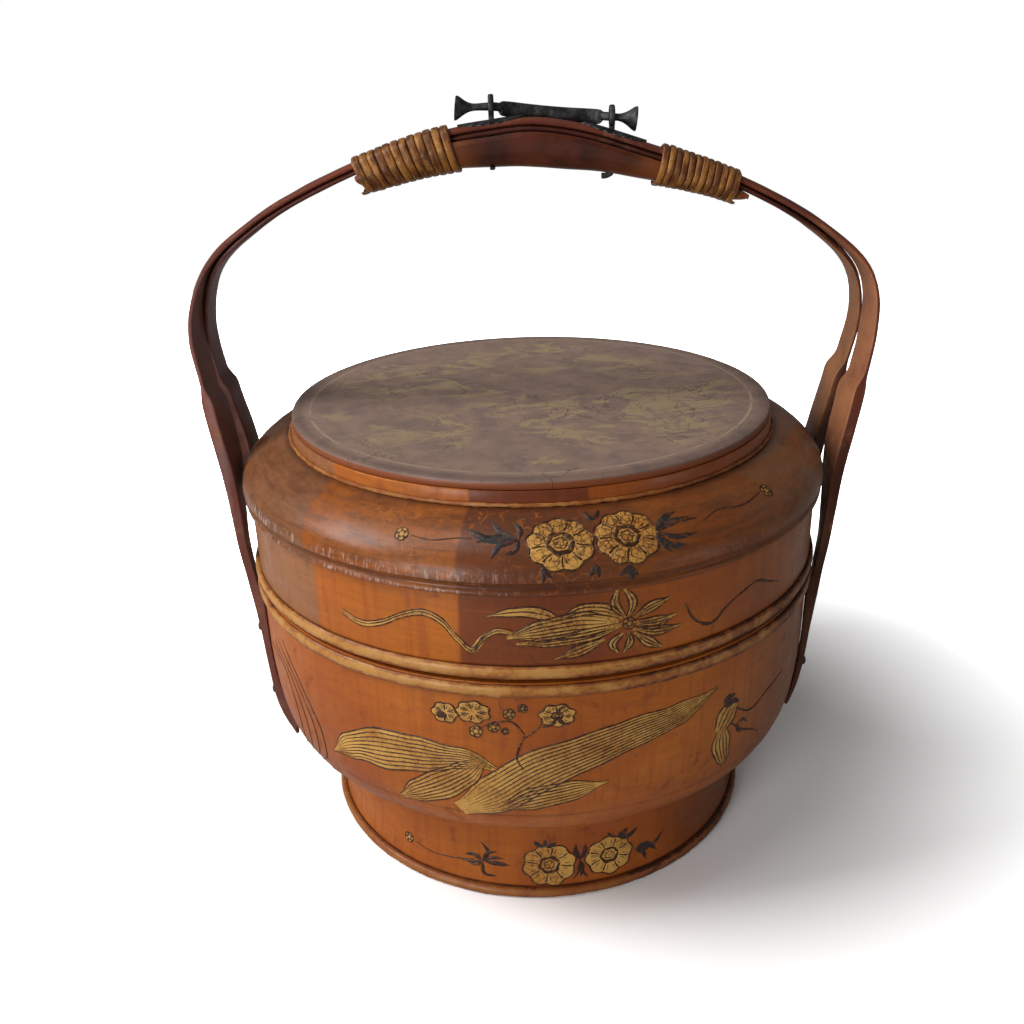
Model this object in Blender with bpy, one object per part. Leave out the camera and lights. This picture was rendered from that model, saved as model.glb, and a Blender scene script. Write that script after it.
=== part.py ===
# Lacquered carrying basket: a footed bowl, a stacking tray and a shouldered lid under a
# fixed handle of two bent bamboo hoops, with a bound grip and a small iron bail on top.
# Frame: origin on the ground under the centre of the foot, +X along the handle's span,
# -Y to the front, +Z up. All lengths are in metres.

import math

import bmesh
import bpy
from mathutils import Vector

# Clearances
SEAT_GAP = 0.0003          # between pieces that seat on each other
LEG_GAP = 0.0006           # between the handle's legs and the round body
LIP_GAP = 0.0004           # radial, between a locating lip and the wall it enters
HOLE_GAP = 0.0003          # radial, between a pin or nail and its hole
CUT_OVERRUN = 0.002        # how far a cutter passes the surface it cuts

# Turned body
WALL = 0.005               # thickness of the bowl, tray, foot and lid walls
BODY_RADIUS = 0.1488       # outside of the bowl's and tray's straight walls
FOOT_HEIGHT = 0.0527
FOOT_INSET = 0.0320        # from the body's wall in to the foot's lower edge
FOOT_TAPER = 0.0028        # how much narrower the foot is at its top
FOOT_WAIST_SHARE = 0.35    # height of the foot's narrowest line, from the top
FOOT_WAIST_INSET = 0.0006
FOOT_HOOP_HEIGHT = 0.0052
FOOT_HOOP_DEPTH = 0.0029
BOWL_BOTTOM_INSET = 0.0010 # from the foot's top in to the bowl's flat underside
BOWL_SEAT_INSET = 0.0176   # from the body's wall in to the ledge that the floor lies on
BOWL_RIM_HEIGHT = 0.1492
BOWL_TURN_HEIGHT = 0.0570  # how far above its underside the bowl's wall starts to turn in
FLOOR_THICKNESS = 0.0050
BEAD_HEIGHT = 0.0060
BEAD_DEPTH = 0.0021
BOWL_BEAD_DROP = 0.0007    # from the rim down to the top of the bead
TRAY_JOINT_GAP = 0.0016    # the shadow line between the bowl's rim and the tray
TRAY_HEIGHT = 0.0430
TRAY_BEAD_RISE = 0.0010    # from the tray's lower edge up to its bead
LIP_THICKNESS = 0.0027
LIP_DEPTH = 0.0068         # how far a locating lip reaches into the piece below
LIP_RISE = 0.0077          # how far it reaches up inside its own piece

# Lid
LID_GROOVE = 0.0008        # shadow line between the tray and the lid
LID_OVERHANG = 0.0034      # how far the ridge stands out past the body
LID_RIDGE_RISE = 0.0044
LID_SHOULDER_HEIGHT = 0.0267
LID_SHOULDER_RUN = 0.0266  # from the ridge in to the raised band
LID_LEDGE = 0.0126         # from the band's foot in to the opening in the shoulder
BAND_HEIGHT = 0.0066
BAND_INSET = 0.0006        # from the shoulder's neck in to the band
BAND_TAPER = 0.0007
BAND_THICKNESS = 0.0055
TOP_BOARD_THICKNESS = 0.0040
TOP_BOARD_INSET = 0.0005   # from the band's top edge in to the board's
TOP_BOARD_ROUND = 0.0012

# Handle hoops
HANDLE_BOW = 0.0212        # how far the hoops swell past the body at their widest
HAND_ROOM = 0.1163         # between the lid's top and the grip's underside
STRAP_WIDTH = 0.0160
STRAP_TOP_EDGE = 0.0027    # thickness at the strap's edges, over the grip
STRAP_BEND_EDGE = 0.0021   # where it is shaved thin to take the bend
STRAP_LEG_EDGE = 0.0034    # below the elbow, where the full thickness is left
STRAP_TIP_EDGE = 0.0014
STRAP_LEG_WIDTH = 0.0125
STRAP_TOP_CROWN = 0.0003   # how much thicker the strap is at its middle
STRAP_LEG_CROWN = 0.0015
STRAP_CHAMFER = 0.0006
ELBOW_STEP = 0.0012        # how far the thick leg stands in from the shaved strap
LEG_LEAN = 0.0016          # how far the legs stand off the tray's bead
LEG_WALL_DROP = 0.02752    # from the bowl's bead down to where the legs lie on the wall
STRAP_SPREAD = 0.0445      # each hoop's distance from the centre plane at its tips
HOOP_STATIONS = 72
# Where the hoops change along their climb: shares of the way from the tray's bead (0)
# to the top of the arch (1). The legs below the bead have shares under 0.
SPREAD_START_SHARE = 0.844     # the two hoops part
LEFT_SPREAD_START_SHARE = 0.750
SPREAD_END_SHARE = -0.450      # they stop spreading
LEFT_PINCH_SHARE = 0.185       # how much closer the hoops are on the left side
NEST_START_SHARE = 0.683       # above this one hoop lies on the other
NEST_END_SHARE = 0.508
LEFT_NEST_START_SHARE = 0.610
LEFT_NEST_END_SHARE = 0.430
THIN_START_SHARE = 0.912       # the strap thins to its bend
THIN_END_SHARE = 0.693
ELBOW_TOP_SHARE = 0.430
ELBOW_BOTTOM_SHARE = 0.381
TAPER_START_SHARE = -0.040     # the tip begins to thin
TWIST_START_SHARE = 0.36       # the strap turns to lie flat on the round wall

# Grip
GRIP_HALF_WIDTH = 0.0115
GRIP_DEPTH = 0.0142
GRIP_LEFT_DEPTH = 0.0080
GRIP_RIGHT_DEPTH = 0.0055
GRIP_LEFT = -0.0815
GRIP_RIGHT = 0.1075
GRIP_CHAMFER = 0.0050
GRIP_STATIONS = 22

# Rattan bindings
CANE_LEFT_WIDTH = 0.0033
CANE_RIGHT_WIDTH = 0.0029
CANE_THICKNESS = 0.0016
CANE_LEFT_PITCH = 0.0041
CANE_RIGHT_PITCH = 0.0036
CANE_GAP = 0.0006          # between the cane and what it binds
BINDING_TURNS = 12
BINDING_LOOP_POINTS = 16
BINDING_LEFT_X = -0.0315   # inner end of each binding, next to the grip
BINDING_RIGHT_X = 0.0610

# Iron fittings
EYE_LEFT_X = -0.0153
EYE_RIGHT_X = 0.0420
EYE_RADIUS = 0.0043        # centre line of the eye
EYE_WIRE_WIDTH = 0.0026
EYE_WIRE_THICKNESS = 0.0016
EYE_LEG_GAP = 0.0006
EYE_MOUTH_ANGLE = math.radians(6.875)  # from a leg to the start of the eye's curve
CLENCH_LENGTH = 0.0048
PIN_HOLE_RADIUS = 0.0025
LEAF_LENGTH = 0.0310
LEAF_WIDTH = 0.0148
LEAF_THICKNESS = 0.0008
LEAF_SCALLOP = 0.0006
LEAF_SCALLOPS = 5
LEAF_END_SHARE = 0.04      # of the half width squared, left at the leaf's blunt tips
BAIL_ROD_RADIUS = 0.0021
BAIL_PLAY = 0.0009         # between the rod and the bottom of the eyes it hangs in
BAIL_REACH = 0.0128        # from the pivot to the crossbar
BAIL_DROOP = math.radians(5)
BAIL_LEFT_OVERHANG = 0.0171    # from an eye to the end of the trumpet beside it
BAIL_RIGHT_OVERHANG = 0.0118
BAIL_LEFT_SAG = 0.0022     # how far the left trumpet hangs below the pivot line
BAIL_ARM_INSET = 0.0046
BAIL_BAND_HALF_HEIGHT = 0.0038
BAIL_WAIST_HALF_HEIGHT = 0.0032
BAIL_BAND_HALF_THICKNESS = 0.0011
BAIL_SIDES = 10
TRUMPET_RADIUS = 0.0060
TRUMPET_LENGTH = 0.0095
TRUMPET_NECK_RADIUS = 0.0016

# Nails that hold the hoops' legs to the bowl
NAIL_UPPER_DROP = 0.0298   # from the bowl's bead down to the upper nail
NAIL_LOWER_SHARE = 0.41    # heights of the others, as shares of the bowl's turn
NAIL_RIGHT_SHARE = 0.71
NAIL_HEAD_RADIUS = 0.0034
NAIL_HEAD_HEIGHT = 0.0016
NAIL_SHANK_RADIUS = 0.0009
NAIL_BITE = 0.0034         # how deep the shank goes into the bowl's wall
NAIL_SIDES = 10

ROUND_STEPS = 48

# The inner face of the lower hoop above the body, left to right: shares of the half
# span and of the climb. The legs below it follow the bowl's own outline.
ARCH_SHARES = (
    (-0.918, 0.230), (-0.957, 0.416), (-0.968, 0.558), (-0.917, 0.691),
    (-0.782, 0.789), (-0.573, 0.881), (-0.266, 0.969), (-0.087, 0.993),
    (0.014, 1.0), (0.145, 0.986), (0.322, 0.9425), (0.616, 0.854),
    (0.835, 0.752), (0.961, 0.6535), (0.992, 0.5525), (0.962, 0.397),
    (0.915, 0.206),
)
# Heights at which a right leg lies on the bowl: shares of the height of the bowl's turn.
LEG_SEAT_SHARES = (0.28, 0.34, 0.48, 0.68)
# The left legs reach lower and stand off the bowl's turn there: shares of the turn's
# height and of the body's radius.
LEFT_TIP_SHARES = ((-0.065, 0.9380), (0.12, 0.9680), (0.355, 0.9895))
# The bowl's outer outline between its flat underside and its straight wall, as shares
# of the wall's overhang past the bottom and of the height of the turn.
BOWL_TURN_SHARES = (
    (0.0, 0.0), (0.20, 0.010), (0.525, 0.070), (0.755, 0.193),
    (0.888, 0.377), (0.964, 0.649), (0.989, 0.85), (1.0, 1.0),
)
# The lid's shoulder from the ridge to the neck, as shares of the run in and of the rise.
SHOULDER_SHARES = ((0.03, 0.20), (0.22, 0.50), (0.55, 0.79), (0.85, 0.96))
# The trumpet's outline from its mouth to its neck, as shares of its length and flare.
TRUMPET_SHARES = ((0.0, 1.0), (0.14, 0.97), (0.42, 0.45), (0.72, 0.10), (1.0, 0.0))
# Section of the flat split cane: shares of its width and thickness.
CANE_SHARES = ((-0.5, 0.0), (0.5, 0.0), (0.5, 0.45), (0.22, 1.0), (-0.22, 1.0), (-0.5, 0.45))
# Half a domed nail head: shares of the head's radius and height.
HEAD_SHARES = ((1.0, 0.0), (0.86, 0.55), (0.5, 0.88), (0.0, 1.0))

FOOT_BASE_RADIUS = BODY_RADIUS - FOOT_INSET
FOOT_TOP_RADIUS = FOOT_BASE_RADIUS - FOOT_TAPER
BOWL_BOTTOM_RADIUS = FOOT_TOP_RADIUS - BOWL_BOTTOM_INSET
BOWL_SEAT_RADIUS = BODY_RADIUS - BOWL_SEAT_INSET
LID_RIDGE_RADIUS = BODY_RADIUS + LID_OVERHANG
LID_NECK_RADIUS = LID_RIDGE_RADIUS - LID_SHOULDER_RUN
LID_EYE_RADIUS = LID_NECK_RADIUS - LID_LEDGE
BAND_BASE_RADIUS = LID_NECK_RADIUS - BAND_INSET
BAND_TOP_RADIUS = BAND_BASE_RADIUS - BAND_TAPER
TOP_BOARD_RADIUS = BAND_TOP_RADIUS - TOP_BOARD_INSET
BOWL_BASE = FOOT_HEIGHT + SEAT_GAP
TRAY_BASE = BOWL_RIM_HEIGHT + TRAY_JOINT_GAP
TRAY_TOP = TRAY_BASE + TRAY_HEIGHT
LID_BASE = TRAY_TOP + LID_GROOVE
LID_NECK = LID_BASE + LID_SHOULDER_HEIGHT
TOP_BOARD_BASE = LID_NECK + SEAT_GAP + BAND_HEIGHT + SEAT_GAP
LID_TOP = TOP_BOARD_BASE + TOP_BOARD_THICKNESS
LEG_TOP = TRAY_BASE + TRAY_BEAD_RISE + BEAD_HEIGHT
BOWL_BEAD_MIDDLE = BOWL_RIM_HEIGHT - BOWL_BEAD_DROP - BEAD_HEIGHT / 2
ARCH_TOP = LID_TOP + HAND_ROOM + GRIP_DEPTH + SEAT_GAP
ARCH_HALF_SPAN = BODY_RADIUS + HANDLE_BOW
STRAP_TIP = BOWL_BASE + BOWL_TURN_HEIGHT * LEFT_TIP_SHARES[0][0]
STRAP_TIP_SHARE = (STRAP_TIP - LEG_TOP) / (ARCH_TOP - LEG_TOP)
BODY_INNER_RADIUS = BODY_RADIUS - WALL
BEAD_RADIUS = BODY_RADIUS + SEAT_GAP + BEAD_DEPTH


def clear_scene():
    for obj in list(bpy.data.objects):
        bpy.data.objects.remove(obj, do_unlink=True)


def make_material(name, colour, roughness, metallic=0.0):
    mat = bpy.data.materials.new(name)
    mat.use_nodes = True
    shader = mat.node_tree.nodes["Principled BSDF"]
    shader.inputs["Base Color"].default_value = (*colour, 1.0)
    shader.inputs["Roughness"].default_value = roughness
    shader.inputs["Metallic"].default_value = metallic
    return mat


def object_from(bm, name, mat):
    bmesh.ops.recalc_face_normals(bm, faces=bm.faces)
    mesh = bpy.data.meshes.new(name)
    bm.to_mesh(mesh)
    bm.free()
    mesh.materials.append(mat)
    mesh.shade_smooth()
    mesh.set_sharp_from_angle(angle=math.radians(35))
    obj = bpy.data.objects.new(name, mesh)
    bpy.context.scene.collection.objects.link(obj)
    return obj


def turn(name, profile, mat, closed=True):
    """Spin an outline of (radius, height) points about the Z axis."""
    bm = bmesh.new()
    verts = [bm.verts.new((radius, 0.0, height)) for radius, height in profile]
    edges = [bm.edges.new(pair) for pair in zip(verts, verts[1:])]
    if closed:
        edges.append(bm.edges.new((verts[-1], verts[0])))
    bmesh.ops.spin(bm, geom=verts + edges, cent=(0, 0, 0), axis=(0, 0, 1),
                   angle=math.tau, steps=ROUND_STEPS, use_merge=True)
    bmesh.ops.remove_doubles(bm, verts=bm.verts, dist=SEAT_GAP / 10)
    return object_from(bm, name, mat)


def add_loft(bm, rings):
    """Skin a list of rings of points and close both ends."""
    loops = [[bm.verts.new(point) for point in ring] for ring in rings]
    for near, far in zip(loops, loops[1:]):
        for i in range(len(near)):
            j = (i + 1) % len(near)
            bm.faces.new((near[i], near[j], far[j], far[i]))
    bm.faces.new(reversed(loops[0]))
    bm.faces.new(loops[-1])


def loft(name, rings, mat):
    bm = bmesh.new()
    add_loft(bm, rings)
    return object_from(bm, name, mat)


def carry(pieces, parent):
    """Put pieces under an empty without moving them."""
    for piece in pieces:
        piece.parent = parent
        piece.location = -parent.location


def smooth_step(low, high, value):
    """0 at or below low, 1 at or above high, eased between."""
    t = min(max((value - low) / (high - low), 0.0), 1.0)
    return t * t * (3 - 2 * t)


def blend(start, end, share):
    return start + (end - start) * share


def spline(points, per_span):
    """A smooth curve through plane points, spaced by the chord between them."""
    points = [Vector(p) for p in points]
    points = [2 * points[0] - points[1]] + points + [2 * points[-1] - points[-2]]
    curve = []
    for p0, p1, p2, p3 in zip(points, points[1:], points[2:], points[3:]):
        t1 = math.sqrt((p1 - p0).length)
        t2 = t1 + math.sqrt((p2 - p1).length)
        t3 = t2 + math.sqrt((p3 - p2).length)
        for step in range(per_span):
            t = blend(t1, t2, step / per_span)
            a1 = p0.lerp(p1, t / t1)
            a2 = p1.lerp(p2, (t - t1) / (t2 - t1))
            a3 = p2.lerp(p3, (t - t2) / (t3 - t2))
            b1 = a1.lerp(a2, t / t2)
            b2 = a2.lerp(a3, (t - t1) / (t3 - t1))
            curve.append(b1.lerp(b2, (t - t1) / (t2 - t1)))
    curve.append(points[-2])
    return curve


# Turned body

def bowl_outer():
    """The bowl's outer outline from its underside to its rim."""
    run = BODY_RADIUS - BOWL_BOTTOM_RADIUS
    turned = [(BOWL_BOTTOM_RADIUS + run * out, BOWL_BASE + BOWL_TURN_HEIGHT * up)
              for out, up in BOWL_TURN_SHARES]
    return turned + [(BODY_RADIUS, BOWL_RIM_HEIGHT)]


def bowl_radius(height):
    """The bowl's outside radius at a height, its bead left out."""
    outline = bowl_outer()
    for (r0, z0), (r1, z1) in zip(outline, outline[1:]):
        if z0 <= height <= z1:
            return blend(r0, r1, (height - z0) / (z1 - z0))
    return BODY_RADIUS


def half_round(inner, low, high, depth):
    """Outline of a split-cane band that lies on a wall."""
    middle = (low + high) / 2
    half = (high - low) / 2
    arc = [(inner + depth * math.cos(a), middle + half * math.sin(a))
           for a in (-0.9, -0.3, 0.3, 0.9)]
    return [(inner, high), (inner, low)] + arc


def make_foot(wood, gilt):
    waist_height = FOOT_HEIGHT * (1 - FOOT_WAIST_SHARE)
    waist = blend(FOOT_TOP_RADIUS, FOOT_BASE_RADIUS, FOOT_WAIST_SHARE) - FOOT_WAIST_INSET
    outer = [(FOOT_BASE_RADIUS, 0.0), (FOOT_BASE_RADIUS, FOOT_HOOP_HEIGHT),
             (waist, waist_height), (FOOT_TOP_RADIUS, FOOT_HEIGHT)]
    inner = [(FOOT_TOP_RADIUS - WALL, FOOT_HEIGHT), (FOOT_BASE_RADIUS - WALL, 0.0)]
    turn("foot_wall", outer + inner, wood)
    hoop_inner = FOOT_BASE_RADIUS + SEAT_GAP
    hoop = [(hoop_inner, 0.0), (hoop_inner + FOOT_HOOP_DEPTH * 0.8, 0.0),
            (hoop_inner + FOOT_HOOP_DEPTH, FOOT_HOOP_HEIGHT * 0.35),
            (hoop_inner + FOOT_HOOP_DEPTH * 0.8, FOOT_HOOP_HEIGHT * 0.85),
            (hoop_inner, FOOT_HOOP_HEIGHT)]
    turn("foot_hoop", hoop, gilt)


def make_bowl(wood, board, gilt):
    seat = BOWL_BASE + WALL
    turn_up = BOWL_SEAT_RADIUS + (BODY_INNER_RADIUS - BOWL_SEAT_RADIUS) * 0.6
    inner = [(BODY_INNER_RADIUS, BOWL_RIM_HEIGHT),
             (BODY_INNER_RADIUS, BOWL_BASE + BOWL_TURN_HEIGHT),
             (BODY_INNER_RADIUS - WALL * 0.25, BOWL_BASE + BOWL_TURN_HEIGHT * 0.6),
             (turn_up, BOWL_BASE + BOWL_TURN_HEIGHT * 0.3),
             (BOWL_SEAT_RADIUS, seat + FLOOR_THICKNESS * 0.4),
             (BOWL_SEAT_RADIUS, seat), (BOWL_BOTTOM_RADIUS, seat)]
    wall = turn("bowl_wall", bowl_outer() + inner, wood)
    floor_base = seat + SEAT_GAP
    floor_radius = BOWL_SEAT_RADIUS - LIP_GAP
    floor = [(0.0, floor_base), (floor_radius, floor_base),
             (floor_radius, floor_base + FLOOR_THICKNESS * 0.3),
             (floor_radius - FLOOR_THICKNESS * 0.3, floor_base + FLOOR_THICKNESS),
             (0.0, floor_base + FLOOR_THICKNESS)]
    turn("bowl_floor", floor, board, closed=False)
    bead_top = BOWL_RIM_HEIGHT - BOWL_BEAD_DROP
    bead = half_round(BODY_RADIUS + SEAT_GAP, bead_top - BEAD_HEIGHT, bead_top, BEAD_DEPTH)
    turn("bowl_rim_bead", bead, gilt)
    return wall


def make_lip(name, joint_base, wood):
    """The hoop inside a piece that drops into the mouth of the piece below."""
    outer = BODY_INNER_RADIUS - LIP_GAP
    low = joint_base - LIP_DEPTH
    high = joint_base + LIP_RISE
    corner = LIP_THICKNESS * 0.3
    outline = [(outer, low + corner), (outer, high), (outer - LIP_THICKNESS, high),
               (outer - LIP_THICKNESS, low), (outer - corner, low)]
    return turn(name, outline, wood)


def make_tray(wood, board, gilt, parent):
    wall = [(BODY_RADIUS, TRAY_BASE), (BODY_RADIUS, TRAY_TOP),
            (BODY_INNER_RADIUS, TRAY_TOP), (BODY_INNER_RADIUS, TRAY_BASE)]
    pieces = [turn("tray_wall", wall, wood)]
    bead_base = TRAY_BASE + TRAY_BEAD_RISE
    bead = half_round(BODY_RADIUS + SEAT_GAP, bead_base, bead_base + BEAD_HEIGHT, BEAD_DEPTH)
    pieces.append(turn("tray_bead", bead, gilt))
    pieces.append(make_lip("tray_lip", TRAY_BASE, board))
    base = TRAY_BASE + LIP_RISE + SEAT_GAP
    radius = BODY_INNER_RADIUS - LIP_GAP
    floor = [(0.0, base), (radius, base), (radius, base + FLOOR_THICKNESS),
             (0.0, base + FLOOR_THICKNESS)]
    pieces.append(turn("tray_floor", floor, board, closed=False))
    carry(pieces, parent)


def make_lid(wood, board, top_paint, parent):
    ridge_height = LID_BASE + LID_RIDGE_RISE
    neck_height = LID_NECK
    run = LID_RIDGE_RADIUS - LID_NECK_RADIUS
    rise = neck_height - ridge_height
    slope = [(LID_RIDGE_RADIUS - run * back, ridge_height + rise * up)
             for back, up in SHOULDER_SHARES]
    edge = BODY_RADIUS + (LID_RIDGE_RADIUS - BODY_RADIUS) * 0.35
    outer = [(edge, LID_BASE), (LID_RIDGE_RADIUS - (LID_RIDGE_RADIUS - edge) * 0.3,
             LID_BASE + LID_RIDGE_RISE * 0.35), (LID_RIDGE_RADIUS, ridge_height)]
    outer += slope + [(LID_NECK_RADIUS, neck_height), (LID_EYE_RADIUS, neck_height)]
    lip_top = LID_BASE + LIP_RISE
    inner = [(LID_EYE_RADIUS, neck_height - WALL),
             (LID_NECK_RADIUS, neck_height - WALL),
             (BODY_INNER_RADIUS, lip_top + WALL * 0.4), (BODY_INNER_RADIUS, LID_BASE)]
    pieces = [turn("lid_shoulder", outer + inner, wood)]
    pieces.append(make_lip("lid_lip", LID_BASE, board))
    band_base = neck_height + SEAT_GAP
    band_top = band_base + BAND_HEIGHT
    band = [(BAND_BASE_RADIUS, band_base), (BAND_TOP_RADIUS, band_top),
            (BAND_TOP_RADIUS - BAND_THICKNESS, band_top),
            (BAND_BASE_RADIUS - BAND_THICKNESS, band_base)]
    pieces.append(turn("lid_edge_band", band, wood))
    disc = [(0.0, TOP_BOARD_BASE), (TOP_BOARD_RADIUS, TOP_BOARD_BASE),
            (TOP_BOARD_RADIUS, LID_TOP - TOP_BOARD_ROUND),
            (TOP_BOARD_RADIUS - TOP_BOARD_ROUND * 0.3, LID_TOP - TOP_BOARD_ROUND * 0.3),
            (TOP_BOARD_RADIUS - TOP_BOARD_ROUND, LID_TOP), (0.0, LID_TOP)]
    pieces.append(turn("lid_top_board", disc, top_paint, closed=False))
    carry(pieces, parent)


# Handle hoops

def climb(height):
    """Share of the way up from the tray's bead to the top of the arch."""
    return (height - LEG_TOP) / (ARCH_TOP - LEG_TOP)


def strap_spread(height, end):
    """How far a hoop's middle lies from the centre plane; end is -1 on the left side."""
    start, widest = SPREAD_START_SHARE, STRAP_SPREAD
    if end < 0:
        start, widest = LEFT_SPREAD_START_SHARE, STRAP_SPREAD * (1 - LEFT_PINCH_SHARE)
    t = (start - climb(height)) / (start - SPREAD_END_SHARE)
    return widest * math.sin(math.pi / 2 * min(max(t, 0.0), 1.0))


def strap_twist(height, end):
    """Angle by which a strap turns from the arch's plane towards the wall behind it."""
    full = math.asin(strap_spread(height, end) / BODY_RADIUS)
    return full * (1 - smooth_step(0.0, TWIST_START_SHARE, climb(height)))


def strap_size(height):
    """A strap's width, and its thickness at the edges and in the middle."""
    share = climb(height)
    thin = 1 - smooth_step(THIN_END_SHARE, THIN_START_SHARE, share)
    elbow = 1 - smooth_step(ELBOW_BOTTOM_SHARE, ELBOW_TOP_SHARE, share)
    tip = 1 - smooth_step(STRAP_TIP_SHARE, TAPER_START_SHARE, share)
    edge = blend(STRAP_TOP_EDGE, STRAP_BEND_EDGE, thin)
    edge = blend(edge, STRAP_LEG_EDGE, elbow)
    edge = blend(edge, STRAP_TIP_EDGE, tip)
    crown = blend(STRAP_TOP_CROWN, STRAP_LEG_CROWN, elbow) * (1 - tip * 0.6)
    width = blend(STRAP_WIDTH, STRAP_LEG_WIDTH, elbow)
    return width, edge, edge + crown


def strap_inset(height):
    """How far the strap's inner face stands in from the arch line, below the elbow."""
    share = climb(height)
    below = 1 - smooth_step(ELBOW_BOTTOM_SHARE, ELBOW_TOP_SHARE, share)
    return ELBOW_STEP * below * smooth_step(0.0, ELBOW_BOTTOM_SHARE, share)


def arch_curve():
    """The lower hoop's inner face in the XZ plane, from the left tip to the right."""
    left = [(BOWL_BASE + BOWL_TURN_HEIGHT * up, BODY_RADIUS * out)
            for up, out in LEFT_TIP_SHARES]
    heights = [BOWL_BASE + BOWL_TURN_HEIGHT * share for share in LEG_SEAT_SHARES]
    right = [(height, bowl_radius(height)) for height in heights]
    wall = BOWL_BEAD_MIDDLE - LEG_WALL_DROP
    beads = [(wall, bowl_radius(wall)), (BOWL_BEAD_MIDDLE, BEAD_RADIUS),
             (LEG_TOP, BEAD_RADIUS + LEG_LEAN)]
    legs = []
    for end, seats in ((-1, left + beads), (1, right + beads)):
        legs.append([(end * math.sqrt((r + LEG_GAP) ** 2 - strap_spread(z, end) ** 2), z)
                     for z, r in seats])
    arch = [(ARCH_HALF_SPAN * x, blend(LEG_TOP, ARCH_TOP, z)) for x, z in ARCH_SHARES]
    return spline(legs[0] + arch + legs[1][::-1], 12)


class Arch:
    """The handle's line, read by its length or by its place along X."""

    def __init__(self):
        self.points = arch_curve()
        self.lengths = [0.0]
        for near, far in zip(self.points, self.points[1:]):
            self.lengths.append(self.lengths[-1] + (far - near).length)
        self.total = self.lengths[-1]

    def at(self, length):
        length = min(max(length, 0.0), self.total)
        for i in range(len(self.points) - 1):
            if length <= self.lengths[i + 1]:
                share = (length - self.lengths[i]) / (self.lengths[i + 1] - self.lengths[i])
                return self.points[i].lerp(self.points[i + 1], share)
        return self.points[-1]

    def frame(self, length):
        """The point, its tangent and its outward normal, in the XZ plane."""
        step = self.total / (HOOP_STATIONS * 4)
        ahead = self.at(length + step) - self.at(length - step)
        tangent = ahead.normalized()
        return self.at(length), tangent, Vector((-tangent.y, tangent.x))

    def length_at_height(self, height, end):
        """The length at which the left (-1) or right (1) side passes a height."""
        low, high = (0.0, self.total / 2) if end < 0 else (self.total, self.total / 2)
        while abs(high - low) > SEAT_GAP / 10:
            middle = (low + high) / 2
            if self.at(middle).y < height:
                low = middle
            else:
                high = middle
        return low

    def length_at_x(self, x):
        """The length along the arch's top where it passes over a place on X."""
        low, high = self.total * 0.3, self.total * 0.7
        while high - low > SEAT_GAP / 10:
            middle = (low + high) / 2
            if self.at(middle).x < x:
                low = middle
            else:
                high = middle
        return low


def lift(height, end):
    """How far the outer hoop's inner face stands off the arch line."""
    low, high = NEST_END_SHARE, NEST_START_SHARE
    if end < 0:
        low, high = LEFT_NEST_END_SHARE, LEFT_NEST_START_SHARE
    return (strap_size(height)[2] + SEAT_GAP) * smooth_step(low, high, climb(height))


def strap_section(width, edge, crown, inset):
    half = width / 2
    cut = min(STRAP_CHAMFER, edge * 0.4)
    shoulder = blend(edge, crown, 0.8)
    return [(half - cut, -inset), (half, cut - inset), (half, edge), (half * 0.56, shoulder),
            (-half * 0.56, shoulder), (-half, edge), (-half, cut - inset),
            (-half + cut, -inset)]


def hoop_middle(arch, length, side):
    """Middle of a hoop's inner face; side is -1 for the front hoop, which lies on top."""
    point, tangent, normal = arch.frame(length)
    place = point
    if side < 0:
        place = point + normal * lift(point.y, point.x)
    return Vector((place.x, side * strap_spread(point.y, point.x), place.y))


def hoop_frame(arch, length, side):
    """A hoop's middle, the directions across and out of it, and the arch's height."""
    step = arch.total / (HOOP_STATIONS * 4)
    point = arch.at(length)
    tangent = hoop_middle(arch, length + step, side) - hoop_middle(arch, length - step, side)
    tangent.normalize()
    across = (Vector((0, 1, 0)) - tangent * tangent.y).normalized()
    outward = tangent.cross(across)
    twist = side * strap_twist(point.y, point.x)
    outward = outward * math.cos(twist) + across * math.sin(twist)
    return hoop_middle(arch, length, side), outward.cross(tangent), outward, point.y


def make_hoop(name, arch, side, mat):
    lengths = [arch.total * i / HOOP_STATIONS for i in range(HOOP_STATIONS + 1)]
    elbow = [blend(LEG_TOP, ARCH_TOP, blend(ELBOW_BOTTOM_SHARE, ELBOW_TOP_SHARE, share))
             for share in (0.0, 0.25, 0.75, 1.0)]
    cuts = [arch.length_at_height(height, end) for height in elbow for end in (-1, 1)]
    spacing = arch.total / HOOP_STATIONS
    lengths = [s for s in lengths if min(abs(s - c) for c in cuts) > spacing * 0.4]
    rings = []
    for length in sorted(lengths + cuts):
        middle, across, outward, height = hoop_frame(arch, length, side)
        section = strap_section(*strap_size(height), strap_inset(height))
        rings.append([middle + across * b + outward * n for b, n in section])
    return loft(name, rings, mat)


def on_arch(arch, length, across, rise):
    """A point beside and above the arch line at a given length along it."""
    point, tangent, normal = arch.frame(length)
    place = point + normal * rise
    return Vector((place.x, across, place.y))


def stack_height(height):
    """Thickness of the two hoops where they lie on each other, at their middle."""
    return 2 * strap_size(height)[2] + SEAT_GAP


# Grip and bindings

def grip_section(depth):
    """Flat top, full round underside."""
    top = -SEAT_GAP
    corner = GRIP_HALF_WIDTH * 0.12
    side = [(GRIP_HALF_WIDTH - corner, top), (GRIP_HALF_WIDTH, top - corner * 1.5)]
    arc = []
    for angle in (25, 57):
        a = math.radians(angle)
        arc.append((GRIP_HALF_WIDTH * math.cos(a) ** 0.8, top - depth * math.sin(a) ** 0.9))
    right = side + arc
    return right + [(0.0, top - depth)] + [(-b, n) for b, n in reversed(right)]


def grip_depth(share):
    """Depth of the grip along its length, thinner towards its ends."""
    rise = math.sin(math.pi * share)
    if share < 0.5:
        return blend(GRIP_LEFT_DEPTH, GRIP_DEPTH, rise)
    return blend(GRIP_RIGHT_DEPTH, GRIP_DEPTH, rise ** 1.8)


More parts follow.
